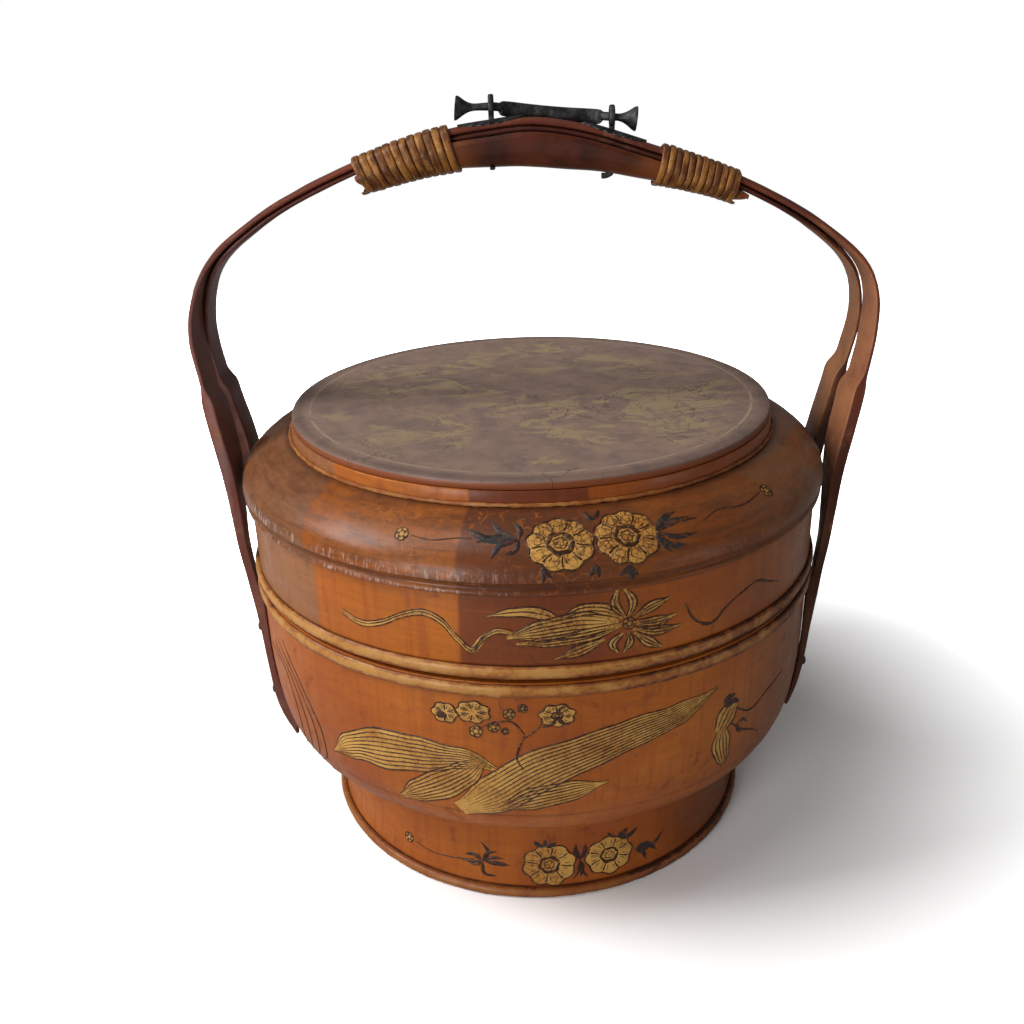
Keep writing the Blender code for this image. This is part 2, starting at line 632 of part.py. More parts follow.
def make_grip(arch, mat):
    start = arch.length_at_x(GRIP_LEFT)
    end = arch.length_at_x(GRIP_RIGHT)
    chamfer = GRIP_CHAMFER / (end - start)
    shares = [0.0, chamfer] + [i / GRIP_STATIONS for i in range(1, GRIP_STATIONS)]
    shares += [1 - chamfer, 1.0]
    rings = []
    for share in shares:
        depth = grip_depth(share)
        if share in (0.0, 1.0):
            depth *= 0.55
        length = blend(start, end, share)
        rings.append([on_arch(arch, length, b, n) for b, n in grip_section(depth)])
    return loft("grip_bar", rings, mat)


def core_outline(arch, length):
    """Corners of the bundle of hoops and grip that the cane goes round."""
    height = arch.at(length).y
    width, edge, crown = strap_size(height)
    top = stack_height(height)
    start = arch.length_at_x(GRIP_LEFT)
    end = arch.length_at_x(GRIP_RIGHT)
    share = min(max((length - start) / (end - start), 0.0), 1.0)
    corners = [(side * width / 2, top - crown + edge) for side in (-1, 1)]
    return corners + [(0.0, top)] + grip_section(grip_depth(share))


def wrap_point(arch, length, angle, thickness):
    """A point on the cane: it touches the bundle where its normal has this angle."""
    direction = (math.cos(angle), math.sin(angle))
    corners = core_outline(arch, length)
    b, n = max(corners, key=lambda c: c[0] * direction[0] + c[1] * direction[1])
    off = CANE_GAP + thickness
    return on_arch(arch, length, b + off * direction[0], n + off * direction[1])


def make_binding(name, arch, inner_x, heading, pitch, width, mat):
    """One flat split cane wound round the bundle, from the grip outwards."""
    base = arch.length_at_x(inner_x)
    count = BINDING_TURNS * BINDING_LOOP_POINTS
    rings = []
    for i in range(-1, count + 2):
        turns = i / BINDING_LOOP_POINTS
        angle = -math.pi / 2 + math.tau * turns
        length = base + heading * pitch * turns
        ring = []
        for along, out in CANE_SHARES:
            place = length + heading * along * width
            ring.append(wrap_point(arch, place, angle, out * CANE_THICKNESS))
        rings.append(ring)
    gap = min((far - near).length for ring, next_ring in zip(rings, rings[BINDING_LOOP_POINTS:])
              for near in ring for far in next_ring)
    print(name, "least gap between turns in mm:", round(gap * 1000, 2))
    return loft(name, rings, mat)


# Iron fittings

def sweep(name, path, section, mat, side_hint):
    """Carry a section of (side, up) points along a path without twisting it."""
    rings = []
    side = Vector(side_hint)
    for i, point in enumerate(path):
        before = path[max(i - 1, 0)]
        after = path[min(i + 1, len(path) - 1)]
        tangent = (after - before).normalized()
        side = (side - tangent * side.dot(tangent)).normalized()
        up = tangent.cross(side)
        rings.append([point + side * s + up * u for s, u in section])
    return loft(name, rings, mat)


def plate_top(arch, x):
    """Height of the iron plate's upper face over a place on X."""
    length = arch.length_at_x(x)
    rise = stack_height(arch.at(length).y) + SEAT_GAP + LEAF_THICKNESS
    return on_arch(arch, length, 0.0, rise).z


def eye_centre(arch, x):
    seat = max(plate_top(arch, x + side * EYE_WIRE_WIDTH / 2) for side in (-1, 1))
    return seat + EYE_RADIUS + EYE_WIRE_THICKNESS / 2 + SEAT_GAP


def grip_underside(arch, x):
    """Height just clear of the grip's underside at a place on X."""
    start = arch.length_at_x(GRIP_LEFT)
    end = arch.length_at_x(GRIP_RIGHT)
    length = arch.length_at_x(x)
    depth = grip_depth((length - start) / (end - start))
    return on_arch(arch, length, 0.0, -SEAT_GAP - depth).z


def make_eye_pin(name, arch, x, clench, mat):
    """A wire bent round an eye, its two legs driven through the grip and clenched."""
    centre = eye_centre(arch, x)
    leg = (EYE_WIRE_THICKNESS + EYE_LEG_GAP) / 2
    under = grip_underside(arch, x) - EYE_WIRE_WIDTH / 2 - SEAT_GAP * 2
    opening = math.asin(leg / EYE_RADIUS) + EYE_MOUTH_ANGLE
    if clench == "along":
        tip = [Vector((x - CLENCH_LENGTH, -leg, under)), Vector((x - leg * 2, -leg, under)),
               Vector((x - leg * 0.3, -leg, under + leg)), Vector((x, -leg, under + leg * 3))]
    else:
        thin = under + (EYE_WIRE_WIDTH - EYE_WIRE_THICKNESS) / 2
        tip = [Vector((x, -leg - CLENCH_LENGTH, thin)), Vector((x, -leg * 2.6, thin)),
               Vector((x, -leg * 1.3, thin + leg * 0.5)), Vector((x, -leg, thin + leg * 2))]
    neck = centre - EYE_RADIUS * math.cos(opening)
    rise = [Vector((x, -leg, blend(tip[-1].z, neck, share))) for share in (0.5, 0.92)]
    ring = []
    steps = 14
    for i in range(steps + 1):
        a = -math.pi / 2 - opening - (math.tau - 2 * opening) * i / steps
        ring.append(Vector((x, EYE_RADIUS * math.cos(a), centre + EYE_RADIUS * math.sin(a))))
    first = tip + rise
    last = [Vector((p.x, -p.y, p.z)) for p in reversed(first)]
    half_w, half_t = EYE_WIRE_WIDTH / 2, EYE_WIRE_THICKNESS / 2
    section = [(half_w, -half_t * 0.5), (half_w, half_t * 0.5), (half_w * 0.6, half_t),
               (-half_w * 0.6, half_t), (-half_w, half_t * 0.5), (-half_w, -half_t * 0.5),
               (-half_w * 0.6, -half_t), (half_w * 0.6, -half_t)]
    start_side = (0, 0, 1) if clench == "along" else (1, 0, 0)
    return sweep(name, first + ring + last, section, mat, start_side)


def make_leaf(name, arch, x, mat):
    """A thin forged leaf that lies along the upper hoop under an eye."""
    middle = arch.length_at_x(x)
    steps = 16
    rings = []
    for i in range(steps + 1):
        along = -1 + 2 * i / steps
        length = middle + along * LEAF_LENGTH / 2
        width, edge, crown = strap_size(arch.at(length).y)
        top = stack_height(arch.at(length).y) + SEAT_GAP
        lobe = LEAF_SCALLOP * math.cos(math.pi * LEAF_SCALLOPS * along)
        half = (LEAF_WIDTH / 2 + lobe) * max(1 - abs(along) ** 2.6, LEAF_END_SHARE) ** 0.5
        cross = (-1, -0.5, 0, 0.5, 1)
        drop = [(crown - edge) * (2 * half * c / width) ** 2 for c in cross]
        lower = [(half * c, top - d) for c, d in zip(cross, drop)]
        upper = [(half * c, top - d + LEAF_THICKNESS) for c, d in zip(cross, drop)]
        rings.append([on_arch(arch, length, b, n) for b, n in lower + upper[::-1]])
    return loft(name, rings, mat)


def bail_half(eye_half, overhang, sag):
    """Stations from a trumpet's mouth to the crossbar.

    Each holds its place along the pivot, behind it and under it, and its half
    thickness and half height.
    """
    arm = eye_half - BAIL_ARM_INSET
    rod = BAIL_ROD_RADIUS
    stations = []
    for along, flare in TRUMPET_SHARES:
        radius = blend(TRUMPET_NECK_RADIUS, TRUMPET_RADIUS, flare)
        out = overhang - TRUMPET_LENGTH * along
        stations.append((eye_half + out, 0.0, sag * out / overhang, radius, radius))
    bar = (BAIL_BAND_HALF_THICKNESS, BAIL_BAND_HALF_HEIGHT)
    waist = (BAIL_BAND_HALF_THICKNESS, BAIL_WAIST_HALF_HEIGHT)
    stations.append((eye_half, 0.0, 0.0, rod, rod))
    stations.append((arm + rod, 0.0, 0.0, rod, rod))
    stations.append((arm + rod * 0.3, BAIL_REACH * 0.05, 0.0, rod, rod))
    stations.append((arm, BAIL_REACH * 0.16, 0.0, rod, rod))
    stations.append((arm, BAIL_REACH * 0.45, 0.0, rod * 0.8, rod * 1.15))
    stations.append((arm, BAIL_REACH * 0.75, 0.0, rod * 0.65, rod * 1.5))
    stations.append((arm - rod * 0.4, BAIL_REACH * 0.93, 0.0, rod * 0.6, rod * 1.7))
    stations.append((arm - rod * 1.6, BAIL_REACH, 0.0, *bar))
    stations.append((arm * 0.35, BAIL_REACH, 0.0, *waist))
    return stations


def make_bail(mat, parent, pivot, axis, eye_half):
    """A forged bail: trumpet ends outside the eyes and a flat crossbar behind them."""
    back = Vector((0, math.cos(BAIL_DROOP), -math.sin(BAIL_DROOP)))
    back = (back - axis * back.dot(axis)).normalized()
    up = axis.cross(back)
    left = bail_half(eye_half, BAIL_LEFT_OVERHANG, BAIL_LEFT_SAG)
    right = bail_half(eye_half, BAIL_RIGHT_OVERHANG, 0.0)
    stations = [(-s, *rest) for s, *rest in left] + right[::-1]
    places = [axis * along + back * reach - Vector((0, 0, drop))
              for along, reach, drop, thick, tall in stations]
    rings = []
    for i, (along, reach, drop, thick, tall) in enumerate(stations):
        before = places[max(i - 1, 0)]
        after = places[min(i + 1, len(places) - 1)]
        side = up.cross((after - before).normalized())
        ring = []
        for k in range(BAIL_SIDES):
            a = math.tau * k / BAIL_SIDES
            ring.append(places[i] + side * thick * math.cos(a) + up * tall * math.sin(a))
        rings.append(ring)
    bail = loft("bail", rings, mat)
    bail.parent = parent


# Nails and cutters

def nail_places(arch):
    """Name, head seat, direction and shank length of each nail in the hoops' legs."""
    places = []
    legs = [(-1, "left_upper", BOWL_BEAD_MIDDLE - NAIL_UPPER_DROP),
            (-1, "left_lower", BOWL_BASE + BOWL_TURN_HEIGHT * NAIL_LOWER_SHARE),
            (1, "right", BOWL_BASE + BOWL_TURN_HEIGHT * NAIL_RIGHT_SHARE)]
    for side, side_name in ((-1, "front"), (1, "back")):
        for end, leg_name, height in legs:
            length = arch.length_at_height(height, end)
            middle, across, outward, z = hoop_frame(arch, length, side)
            seat = middle + outward * strap_size(z)[2]
            reach = math.hypot(seat.x, seat.y) - bowl_radius(seat.z)
            name = "_".join(("strap_nail", side_name, leg_name))
            places.append((name, seat, outward, reach + NAIL_BITE))
    return places


def add_round(bm, start, end, radius_start, radius_end, sides):
    """A round bar between two points, for a shank, a hole or a head."""
    axis = (end - start).normalized()
    side = Vector((0, 0, 1)).cross(axis)
    if side.length < SEAT_GAP:
        side = Vector((1, 0, 0))
    side.normalize()
    up = axis.cross(side)
    rings = []
    for point, radius in ((start, radius_start), (end, radius_end)):
        rings.append([point + side * radius * math.cos(math.tau * k / sides)
                      + up * radius * math.sin(math.tau * k / sides) for k in range(sides)])
    add_loft(bm, rings)


def make_nail(name, seat, outward, depth, mat):
    side = Vector((0, 0, 1)).cross(outward).normalized()
    up = outward.cross(side)
    outline = [(NAIL_SHANK_RADIUS, -depth), (NAIL_SHANK_RADIUS, SEAT_GAP)]
    outline += [(NAIL_HEAD_RADIUS * r, SEAT_GAP + NAIL_HEAD_HEIGHT * h)
                for r, h in HEAD_SHARES[:-1]]
    rings = []
    for radius, out in outline:
        ring = []
        for k in range(NAIL_SIDES):
            a = math.tau * k / NAIL_SIDES
            round_place = side * math.cos(a) + up * math.sin(a)
            ring.append(seat + outward * out + round_place * radius)
        rings.append(ring)
    return loft(name, rings, mat)


def make_cutter(name, bars, radius, sides, mat):
    bm = bmesh.new()
    for start, end in bars:
        add_round(bm, start, end, radius, radius, sides)
    cutter = object_from(bm, name, mat)
    cutter.display_type = "WIRE"
    cutter.hide_render = True
    return cutter


def cut(target, cutter):
    modifier = target.modifiers.new("holes", "BOOLEAN")
    modifier.operation = "DIFFERENCE"
    modifier.solver = "EXACT"
    modifier.object = cutter


def make_empty(name, place):
    empty = bpy.data.objects.new(name, None)
    empty.location = place
    bpy.context.scene.collection.objects.link(empty)
    return empty


def main():
    clear_scene()
    lacquer = make_material("lacquer", (0.36, 0.12, 0.035), 0.35)
    board = make_material("board", (0.20, 0.085, 0.035), 0.55)
    gilt = make_material("gilt", (0.52, 0.30, 0.08), 0.4, 0.2)
    paint = make_material("top_paint", (0.17, 0.115, 0.07), 0.6)
    bamboo = make_material("bamboo", (0.22, 0.065, 0.03), 0.35)
    rattan = make_material("rattan", (0.38, 0.20, 0.06), 0.45)
    iron = make_material("iron", (0.03, 0.028, 0.027), 0.5, 0.8)

    arch = Arch()
    make_foot(lacquer, gilt)
    bowl = make_bowl(lacquer, board, gilt)
    tray = make_empty("tray_slide", (0, 0, TRAY_BASE))
    lid = make_empty("lid_slide", (0, 0, LID_BASE))
    make_tray(lacquer, board, gilt, tray)
    make_lid(lacquer, board, paint, lid)

    front = make_hoop("hoop_front", arch, -1, bamboo)
    back = make_hoop("hoop_back", arch, 1, bamboo)
    grip = make_grip(arch, bamboo)
    make_binding("binding_left", arch, BINDING_LEFT_X, -1, CANE_LEFT_PITCH,
                 CANE_LEFT_WIDTH, rattan)
    make_binding("binding_right", arch, BINDING_RIGHT_X, 1, CANE_RIGHT_PITCH,
                 CANE_RIGHT_WIDTH, rattan)

    left_leaf = make_leaf("leaf_plate_left", arch, EYE_LEFT_X, iron)
    right_leaf = make_leaf("leaf_plate_right", arch, EYE_RIGHT_X, iron)
    bail_drop = EYE_RADIUS - EYE_WIRE_THICKNESS / 2 - BAIL_ROD_RADIUS - BAIL_PLAY
    make_eye_pin("eye_pin_left", arch, EYE_LEFT_X, "across", iron)
    make_eye_pin("eye_pin_right", arch, EYE_RIGHT_X, "along", iron)
    nails = nail_places(arch)
    for nail in nails:
        make_nail(*nail, iron)

    eyes = [Vector((x, 0, eye_centre(arch, x) - bail_drop)) for x in (EYE_LEFT_X, EYE_RIGHT_X)]
    pivot = (eyes[0] + eyes[1]) / 2
    axis = (eyes[1] - eyes[0]).normalized()
    hinge = make_empty("bail_hinge", pivot)
    make_bail(iron, hinge, pivot, axis, (eyes[1] - eyes[0]).length / 2)

    pin_bars = []
    for x in (EYE_LEFT_X, EYE_RIGHT_X):
        top = plate_top(arch, x) + CUT_OVERRUN
        bottom = grip_underside(arch, x) - CUT_OVERRUN
        pin_bars.append((Vector((x, 0, bottom)), Vector((x, 0, top))))
    pin_cutter = make_cutter("pin_holes_cutter", pin_bars, PIN_HOLE_RADIUS, 12, iron)
    nail_bars = [(seat - outward * (depth + HOLE_GAP), seat + outward * CUT_OVERRUN)
                 for name, seat, outward, depth in nails]
    nail_cutter = make_cutter("nail_holes_cutter", nail_bars,
                              NAIL_SHANK_RADIUS + HOLE_GAP, NAIL_SIDES, iron)
    for piece in (front, back, grip, left_leaf, right_leaf):
        cut(piece, pin_cutter)
    for piece in (front, back, bowl):
        cut(piece, nail_cutter)


main()
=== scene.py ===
import bisect
import functools
import math

import bmesh
import bpy
from mathutils import Matrix, Vector, noise


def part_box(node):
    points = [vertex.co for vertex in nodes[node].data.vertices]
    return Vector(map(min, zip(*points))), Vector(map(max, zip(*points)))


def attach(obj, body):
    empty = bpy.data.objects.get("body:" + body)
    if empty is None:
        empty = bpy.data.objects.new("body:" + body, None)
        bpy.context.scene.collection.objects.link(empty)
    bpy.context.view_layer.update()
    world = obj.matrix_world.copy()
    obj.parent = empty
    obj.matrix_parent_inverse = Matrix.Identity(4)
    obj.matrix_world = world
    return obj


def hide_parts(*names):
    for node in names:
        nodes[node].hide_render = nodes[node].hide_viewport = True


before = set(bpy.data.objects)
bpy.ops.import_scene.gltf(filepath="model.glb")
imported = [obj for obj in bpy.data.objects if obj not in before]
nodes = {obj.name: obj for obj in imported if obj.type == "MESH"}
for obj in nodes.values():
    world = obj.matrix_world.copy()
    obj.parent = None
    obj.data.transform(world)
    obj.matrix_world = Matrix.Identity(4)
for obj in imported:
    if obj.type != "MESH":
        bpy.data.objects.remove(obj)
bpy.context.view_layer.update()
print("frame loaded:", len(nodes), "nodes")


# Materials: small helpers that add nodes to the tree on the bench. The shader, the colours
# and the tone so far lie there too.

bench = {}


def plug(socket, value):
    if isinstance(value, bpy.types.NodeSocket):
        bench["tree"].links.new(value, socket)
    else:
        socket.default_value = value


def put(kind, inputs=None, **settings):
    node = bench["tree"].nodes.new(kind)
    for key, value in settings.items():
        setattr(node, key, value)
    for key, value in (inputs or {}).items():
        plug(node.inputs[key], value)
    return node


def startMaterial(name, look, coat=0.0, coatRoughness=0.2, specular=0.22, metallic=0.0):
    material = bpy.data.materials.new(name)
    material.use_nodes = True
    shader = material.node_tree.nodes["Principled BSDF"]
    bench.update(tree=material.node_tree, shader=shader, look=look)
    for key, value in (("Metallic", metallic), ("Coat Weight", coat),
                       ("Coat Roughness", coatRoughness), ("Specular IOR Level", specular)):
        shader.inputs[key].default_value = value
    return material, put("ShaderNodeTexCoord").outputs["Object"]


def grainPlace():
    return put("ShaderNodeTexCoord").outputs["UV"]


def stretch(vector, scale, shift=(0, 0, 0)):
    return put("ShaderNodeMapping",
               {"Vector": vector, "Scale": scale, "Location": shift}).outputs["Vector"]


def cloud(vector, scale, detail, rough, distortion=0.0):
    return put("ShaderNodeTexNoise", {"Vector": vector, "Scale": scale, "Detail": detail,
                                      "Roughness": rough, "Distortion": distortion}).outputs["Fac"]


def cells(vector, scale, feature="F1"):
    return put("ShaderNodeTexVoronoi", {"Vector": vector, "Scale": scale},
               feature=feature).outputs["Distance"]


def calc(operation, first, second=0.0):
    return put("ShaderNodeMath", {0: first, 1: second}, operation=operation).outputs[0]


def times(first, *others):
    for other in others:
        first = calc("MULTIPLY", first, other)
    return first


def plus(first, *others):
    for other in others:
        first = calc("ADD", first, other)
    return first


def minus(first, second):
    return calc("SUBTRACT", first, second)


def ease(value, low, high, start=0.0, end=1.0):
    return put("ShaderNodeMapRange",
               {"Value": value, "From Min": low, "From Max": high, "To Min": start,
                "To Max": end}, interpolation_type="SMOOTHSTEP", clamp=True).outputs["Result"]


def nearTo(value, centre, reach, core):
    return ease(calc("ABSOLUTE", minus(value, centre)), reach, reach * core)


def cracks(place, scale, width):
    bend = put("ShaderNodeTexNoise", {"Vector": place, "Scale": scale * 3.0, "Detail": 3.0})
    shift = put("ShaderNodeVectorMath", {0: bend.outputs["Color"], "Scale": 0.5 / scale},
                operation="SCALE")
    moved = put("ShaderNodeVectorMath", {0: place, 1: shift.outputs[0]})
    return ease(cells(moved.outputs[0], scale, "DISTANCE_TO_EDGE"), width, width * 0.3)


def blendTone(share, first, second):
    node = put("ShaderNodeMix", data_type="RGBA", clamp_factor=True)
    for index, value in ((0, share), (6, first), (7, second)):
        plug(node.inputs[index], (*value, 1.0) if isinstance(value, tuple) else value)
    return node.outputs[2]


def startTone(share, first, second):
    bench["tone"] = blendTone(share, bench["look"][first], bench["look"][second])


def layer(share, colour, strength=None):     # one more colour over the tone so far
    share = share if strength is None else times(share, strength)
    colour = bench["look"][colour] if isinstance(colour, str) else colour
    bench["tone"] = blendTone(share, bench["tone"], colour)


def finishMaterial(rough, height, strength, depth):
    bump = put("ShaderNodeBump", {"Height": height, "Strength": strength, "Distance": depth})
    for key, socket in (("Base Color", bench["tone"]), ("Roughness", rough),
                        ("Normal", bump.outputs["Normal"])):
        plug(bench["shader"].inputs[key], socket)


def axesOf(vector):
    return put("ShaderNodeSeparateXYZ", {"Vector": vector}).outputs


def aroundAndUp(place):
    x, y, z = axesOf(place)
    return calc("ARCTAN2", x, times(y, -1.0)), z    # 0 in front, and it grows to the right


# Lacquer: cloudy tones, upright and level brush marks, patches, chips and worn edges, with painted
# sheen on the right-hand side, painted highlights on the ridges and painted shade in the folds

lacquerLook = {
    "orange": (0.50, 0.142, 0.014),
    "red": (0.26, 0.050, 0.009),
    "plum": (0.092, 0.019, 0.011),
    "greyed": (0.29, 0.135, 0.058),
    "umber": (0.085, 0.032, 0.014),
    "dust": (0.30, 0.20, 0.13),
    "rubbed": (0.44, 0.31, 0.27),
    "dark": (0.028, 0.009, 0.006),
    "patchEdges": (-0.72, -0.215, 0.19),   # angles in radians round the lid and tray
    "patchLean": 2.7,
    "roughness": 0.34,
}


def lacquerTone(place, patches, redness=0.5, smoked=0.2, fadeOut=0.26):
    look = bench["look"] = lacquerLook
    angle, height = aroundAndUp(place)
    upright = cloud(stretch(place, (260, 260, 9)), 1.0, 3.0, 0.6)
    level = cloud(stretch(place, (9, 9, 420)), 1.0, 2.0, 0.5)
    mottled = cloud(place, 85.0, 5.0, 0.65, 0.6)
    startTone(ease(cloud(place, 14.0, 4.0, 0.55), 0.30, 0.72, redness - 0.32, redness + 0.32),
              "orange", "red")
    if patches:
        left, middle, right = look["patchEdges"]
        above = calc("MAXIMUM", minus(height, lidBox[0].z))
        bent = plus(angle, times(minus(mottled, 0.5), 0.02))
        greyed = ease(minus(bent, minus(left, times(above, look["patchLean"]))), 0.008, -0.008)
        bright = times(minus(1.0, greyed), ease(bent, middle + 0.006, middle - 0.006))
        inPlum = times(ease(bent, middle - 0.006, middle + 0.006),
                       ease(bent, right + fadeOut, right - fadeOut * 0.4))
        layer(times(greyed, ease(bent, -2.2, -1.6)), "greyed", 0.75)
        layer(bright, "orange", 0.62)
        layer(inPlum, "plum", 0.72)
    layer(ease(upright, 0.42, 0.72), "red", 0.42)
    layer(ease(upright, 0.40, 0.26), "umber", 0.30)
    layer(ease(level, 0.55, 0.80), "orange", 0.22)
    layer(ease(mottled, 0.54, 0.76), "plum", 0.50)
    strokes = cloud(stretch(place, (50, 50, 420)), 1.0, 5.0, 0.7, 0.5)
    layer(ease(strokes, 0.36, 0.68, smoked * smoked * 0.7, smoked), "umber")
    # painted sheen: a pale grey reflection on the right-hand side, at glancing angle
    layer(times(ease(angle, 0.50, 1.20), ease(angle, 2.0, 1.3),
                ease(mottled, 0.30, 0.66, 0.08, 0.46)), "dust")
    return mottled, upright, angle, height


def lacquerMaterial(name, patches=False, redness=0.5, smoked=0.2, ridges=(), foldLines=(),
                    fadeOut=0.26, crackle=0.0):
    material, place = startMaterial(name, lacquerLook, coat=0.10)
    mottled, upright, angle, height = lacquerTone(place, patches, redness, smoked, fadeOut)
    speck = plus(cells(stretch(place, (1, 1, 0.7)), 210.0),
                 times(cloud(place, 900.0, 2.0, 0.5), 0.12))
    layer(ease(speck, 0.115, 0.075), "dust", 0.35)
    speck = cells(stretch(place, (1, 1, 1), (3.7, 1.1, 2.3)), 150.0)
    layer(ease(speck, 0.075, 0.035), "dark", 0.7)
    if crackle:
        layer(times(cracks(place, 150.0, 0.05), ease(mottled, 0.47, 0.58),
                    ease(angle, 0.30, 0.05, 0.15, 1.0), ease(angle, -0.65, -0.40, 0.15, 1.0)),
              "orange", crackle)
    for centre, reach, strength in ridges:      # ticks where a ridge has been rubbed, with a painted highlight along it, strongest on the left
        ticks = cloud(stretch(place, (620, 620, 70)), 1.0, 3.0, 0.7)
        rubbed = times(nearTo(height, centre, reach, 0.2),
                       ease(cloud(place, 22.0, 2.0, 0.5), 0.30, 0.48),
                       ease(angle, 0.05, -0.35, 0.15, 1.0))
        layer(times(rubbed, ease(ticks, 0.50, 0.66)), "rubbed", strength)
        layer(times(rubbed, ease(ticks, 0.40, 0.30)), "dark", 0.8)
    for centre, halfWidth, strength in foldLines:   # grime and painted shade in the joints, creases and under overhangs
        layer(times(nearTo(height, centre, halfWidth, 0.25),
                    ease(mottled, 0.25, 0.6, 0.55, 1.0)), "dark", strength)
    rough = lacquerLook["roughness"]
    finishMaterial(ease(mottled, 0.3, 0.75, rough - 0.06, rough + 0.20),
                   plus(times(upright, 0.5), times(mottled, 0.5)), 0.22, 0.0006)
    return material


# Turned pieces: an outline is drawn point by point, then spun

def hang(name, data):
    holder = bpy.data.objects.new(name, data)
    bpy.context.scene.collection.objects.link(holder)
    return holder


def startEdit(piece):
    bpy.ops.object.select_all(action="DESELECT")
    piece.select_set(True)
    bpy.context.view_layer.objects.active = piece
    bpy.ops.object.mode_set(mode="EDIT")
    bpy.ops.mesh.select_all(action="SELECT")


def endEdit():
    bpy.ops.mesh.normals_make_consistent(inside=False)
    bpy.ops.object.mode_set(mode="OBJECT")


def dress(piece, material):
    piece.data.materials.clear()
    piece.data.materials.append(material)


def roundEdges(piece, width, segments, angle):
    edge = piece.modifiers.new("edge", "BEVEL")
    edge.width = width
    edge.segments = segments
    edge.limit_method = "ANGLE"
    edge.angle_limit = math.radians(angle)
    bpy.ops.object.modifier_apply(modifier="edge")


def spinPiece(name, outline, material, steps=192, rounding=0.0, closed=True):
    bpy.ops.mesh.primitive_plane_add(size=0.01)
    piece = bpy.context.object
    piece.name = name
    piece.data.name = name
    startEdit(piece)
    bpy.ops.mesh.merge(type="CENTER")
    path = outline + outline[:1] if closed else outline
    bpy.ops.transform.translate(value=(path[0][0], 0, path[0][1]))
    for (nearR, nearZ), (farR, farZ) in zip(path, path[1:]):
        move = {"value": (farR - nearR, 0, farZ - nearZ)}
        bpy.ops.mesh.extrude_region_move(TRANSFORM_OT_translate=move)
    bpy.ops.mesh.select_all(action="SELECT")
    bpy.ops.mesh.spin(steps=steps, angle=math.tau, center=(0, 0, 0), axis=(0, 0, 1))
    bpy.ops.mesh.select_all(action="SELECT")
    bpy.ops.mesh.remove_doubles(threshold=0.00002)
    endEdit()
    if rounding:
        roundEdges(piece, rounding, 3, 28)
    dress(piece, material)
    bpy.ops.object.shade_smooth_by_angle(angle=math.radians(38))
    return piece


def weather(piece, amount, size, seed, flatten=1.0):
    moves = []
    for vertex in piece.data.vertices:
        spot = Vector((vertex.co.x, vertex.co.y, vertex.co.z * flatten)) / size
        moves.append(vertex.normal * amount * noise.noise(spot + Vector((seed, 0, 0))))
    for vertex, move in zip(piece.data.vertices, moves):
        vertex.co += move
    piece.data.update()


def settle(piece, body, slotName, *replaced):
    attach(piece, body)
    if replaced:
        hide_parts(*replaced)
    return piece


footBox, footHoopBox, bowlBox, bowlBeadBox = [
    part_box(node) for node in ("foot_wall", "foot_hoop", "bowl_wall", "bowl_rim_bead")]
trayBox, trayBeadBox, lidBox, bandBox, topBox = [
    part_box(node) for node in ("tray_wall", "tray_bead", "lid_shoulder", "lid_edge_band",
                              "lid_top_board")]
bodyRadius = trayBox[1].x
wallThickness = 0.005

footShape = {
    "topRadius": 0.1140,
    "waistShare": 0.65,      # height of the narrowest line
    "waistRadius": 0.11438,
    "lowShare": 0.34,
    "flare": 0.0006,         # wider than the waist by this at the low share
    "hoopDepth": 0.0029,
}
bowlShape = {
    "bottomRadius": 0.1130,
    "turnHeight": 0.0570,
    "turnShares": ((0.0, 0.0), (0.10, 0.003), (0.20, 0.010), (0.37, 0.032), (0.525, 0.070),
                   (0.655, 0.124), (0.755, 0.193), (0.832, 0.280), (0.888, 0.377),
                   (0.933, 0.505), (0.964, 0.649), (0.989, 0.85), (1.0, 1.0)),
    "ledgeRadius": 0.1312,
    "innerShares": ((0.0, 0.60), (0.25, 0.36), (0.45, 0.25), (1.0, 0.10)),
}
lidShape = {
    "ridgeRise": 0.0044,
    "neckRadius": 0.1256,
    "openingRadius": 0.1130,
    "innerRise": 0.0097,     # height at which the inside turns in
    "slopeShares": ((0.012, 0.10), (0.04, 0.22), (0.11, 0.37), (0.22, 0.515), (0.37, 0.66),
                    (0.55, 0.795), (0.72, 0.895), (0.86, 0.96), (0.95, 0.99)),
    # the lip that laps over the tray, the groove above it and the ridge
    "edge": ((0.0004, 0.0), (0.0004, -0.0019), (0.0018, -0.0022), (0.0027, -0.0017),
             (0.0029, -0.0009), (0.0026, -0.0001), (0.0018, 0.0006), (0.0015, 0.0014),
             (0.0016, 0.0024), (0.0021, 0.0033), (0.0028, 0.0039)),
}
bandShape = {"lean": 0.0007, "thickness": 0.0055}


def footOutline():
    high = footBox[1].z
    radius = footBox[1].x
    hoop = footHoopBox[1].z
    return [(radius, 0.0), (radius, hoop),
            (footShape["waistRadius"] + footShape["flare"], high * footShape["lowShare"]),
            (footShape["waistRadius"], high * footShape["waistShare"]),
            (footShape["topRadius"], high)]


def bowlOutline():
    run = bodyRadius - bowlShape["bottomRadius"]
    low = bowlBox[0].z
    turned = [(bowlShape["bottomRadius"] + run * out, low + bowlShape["turnHeight"] * up)
              for out, up in bowlShape["turnShares"]]
    return turned + [(bodyRadius, bowlBox[1].z)]


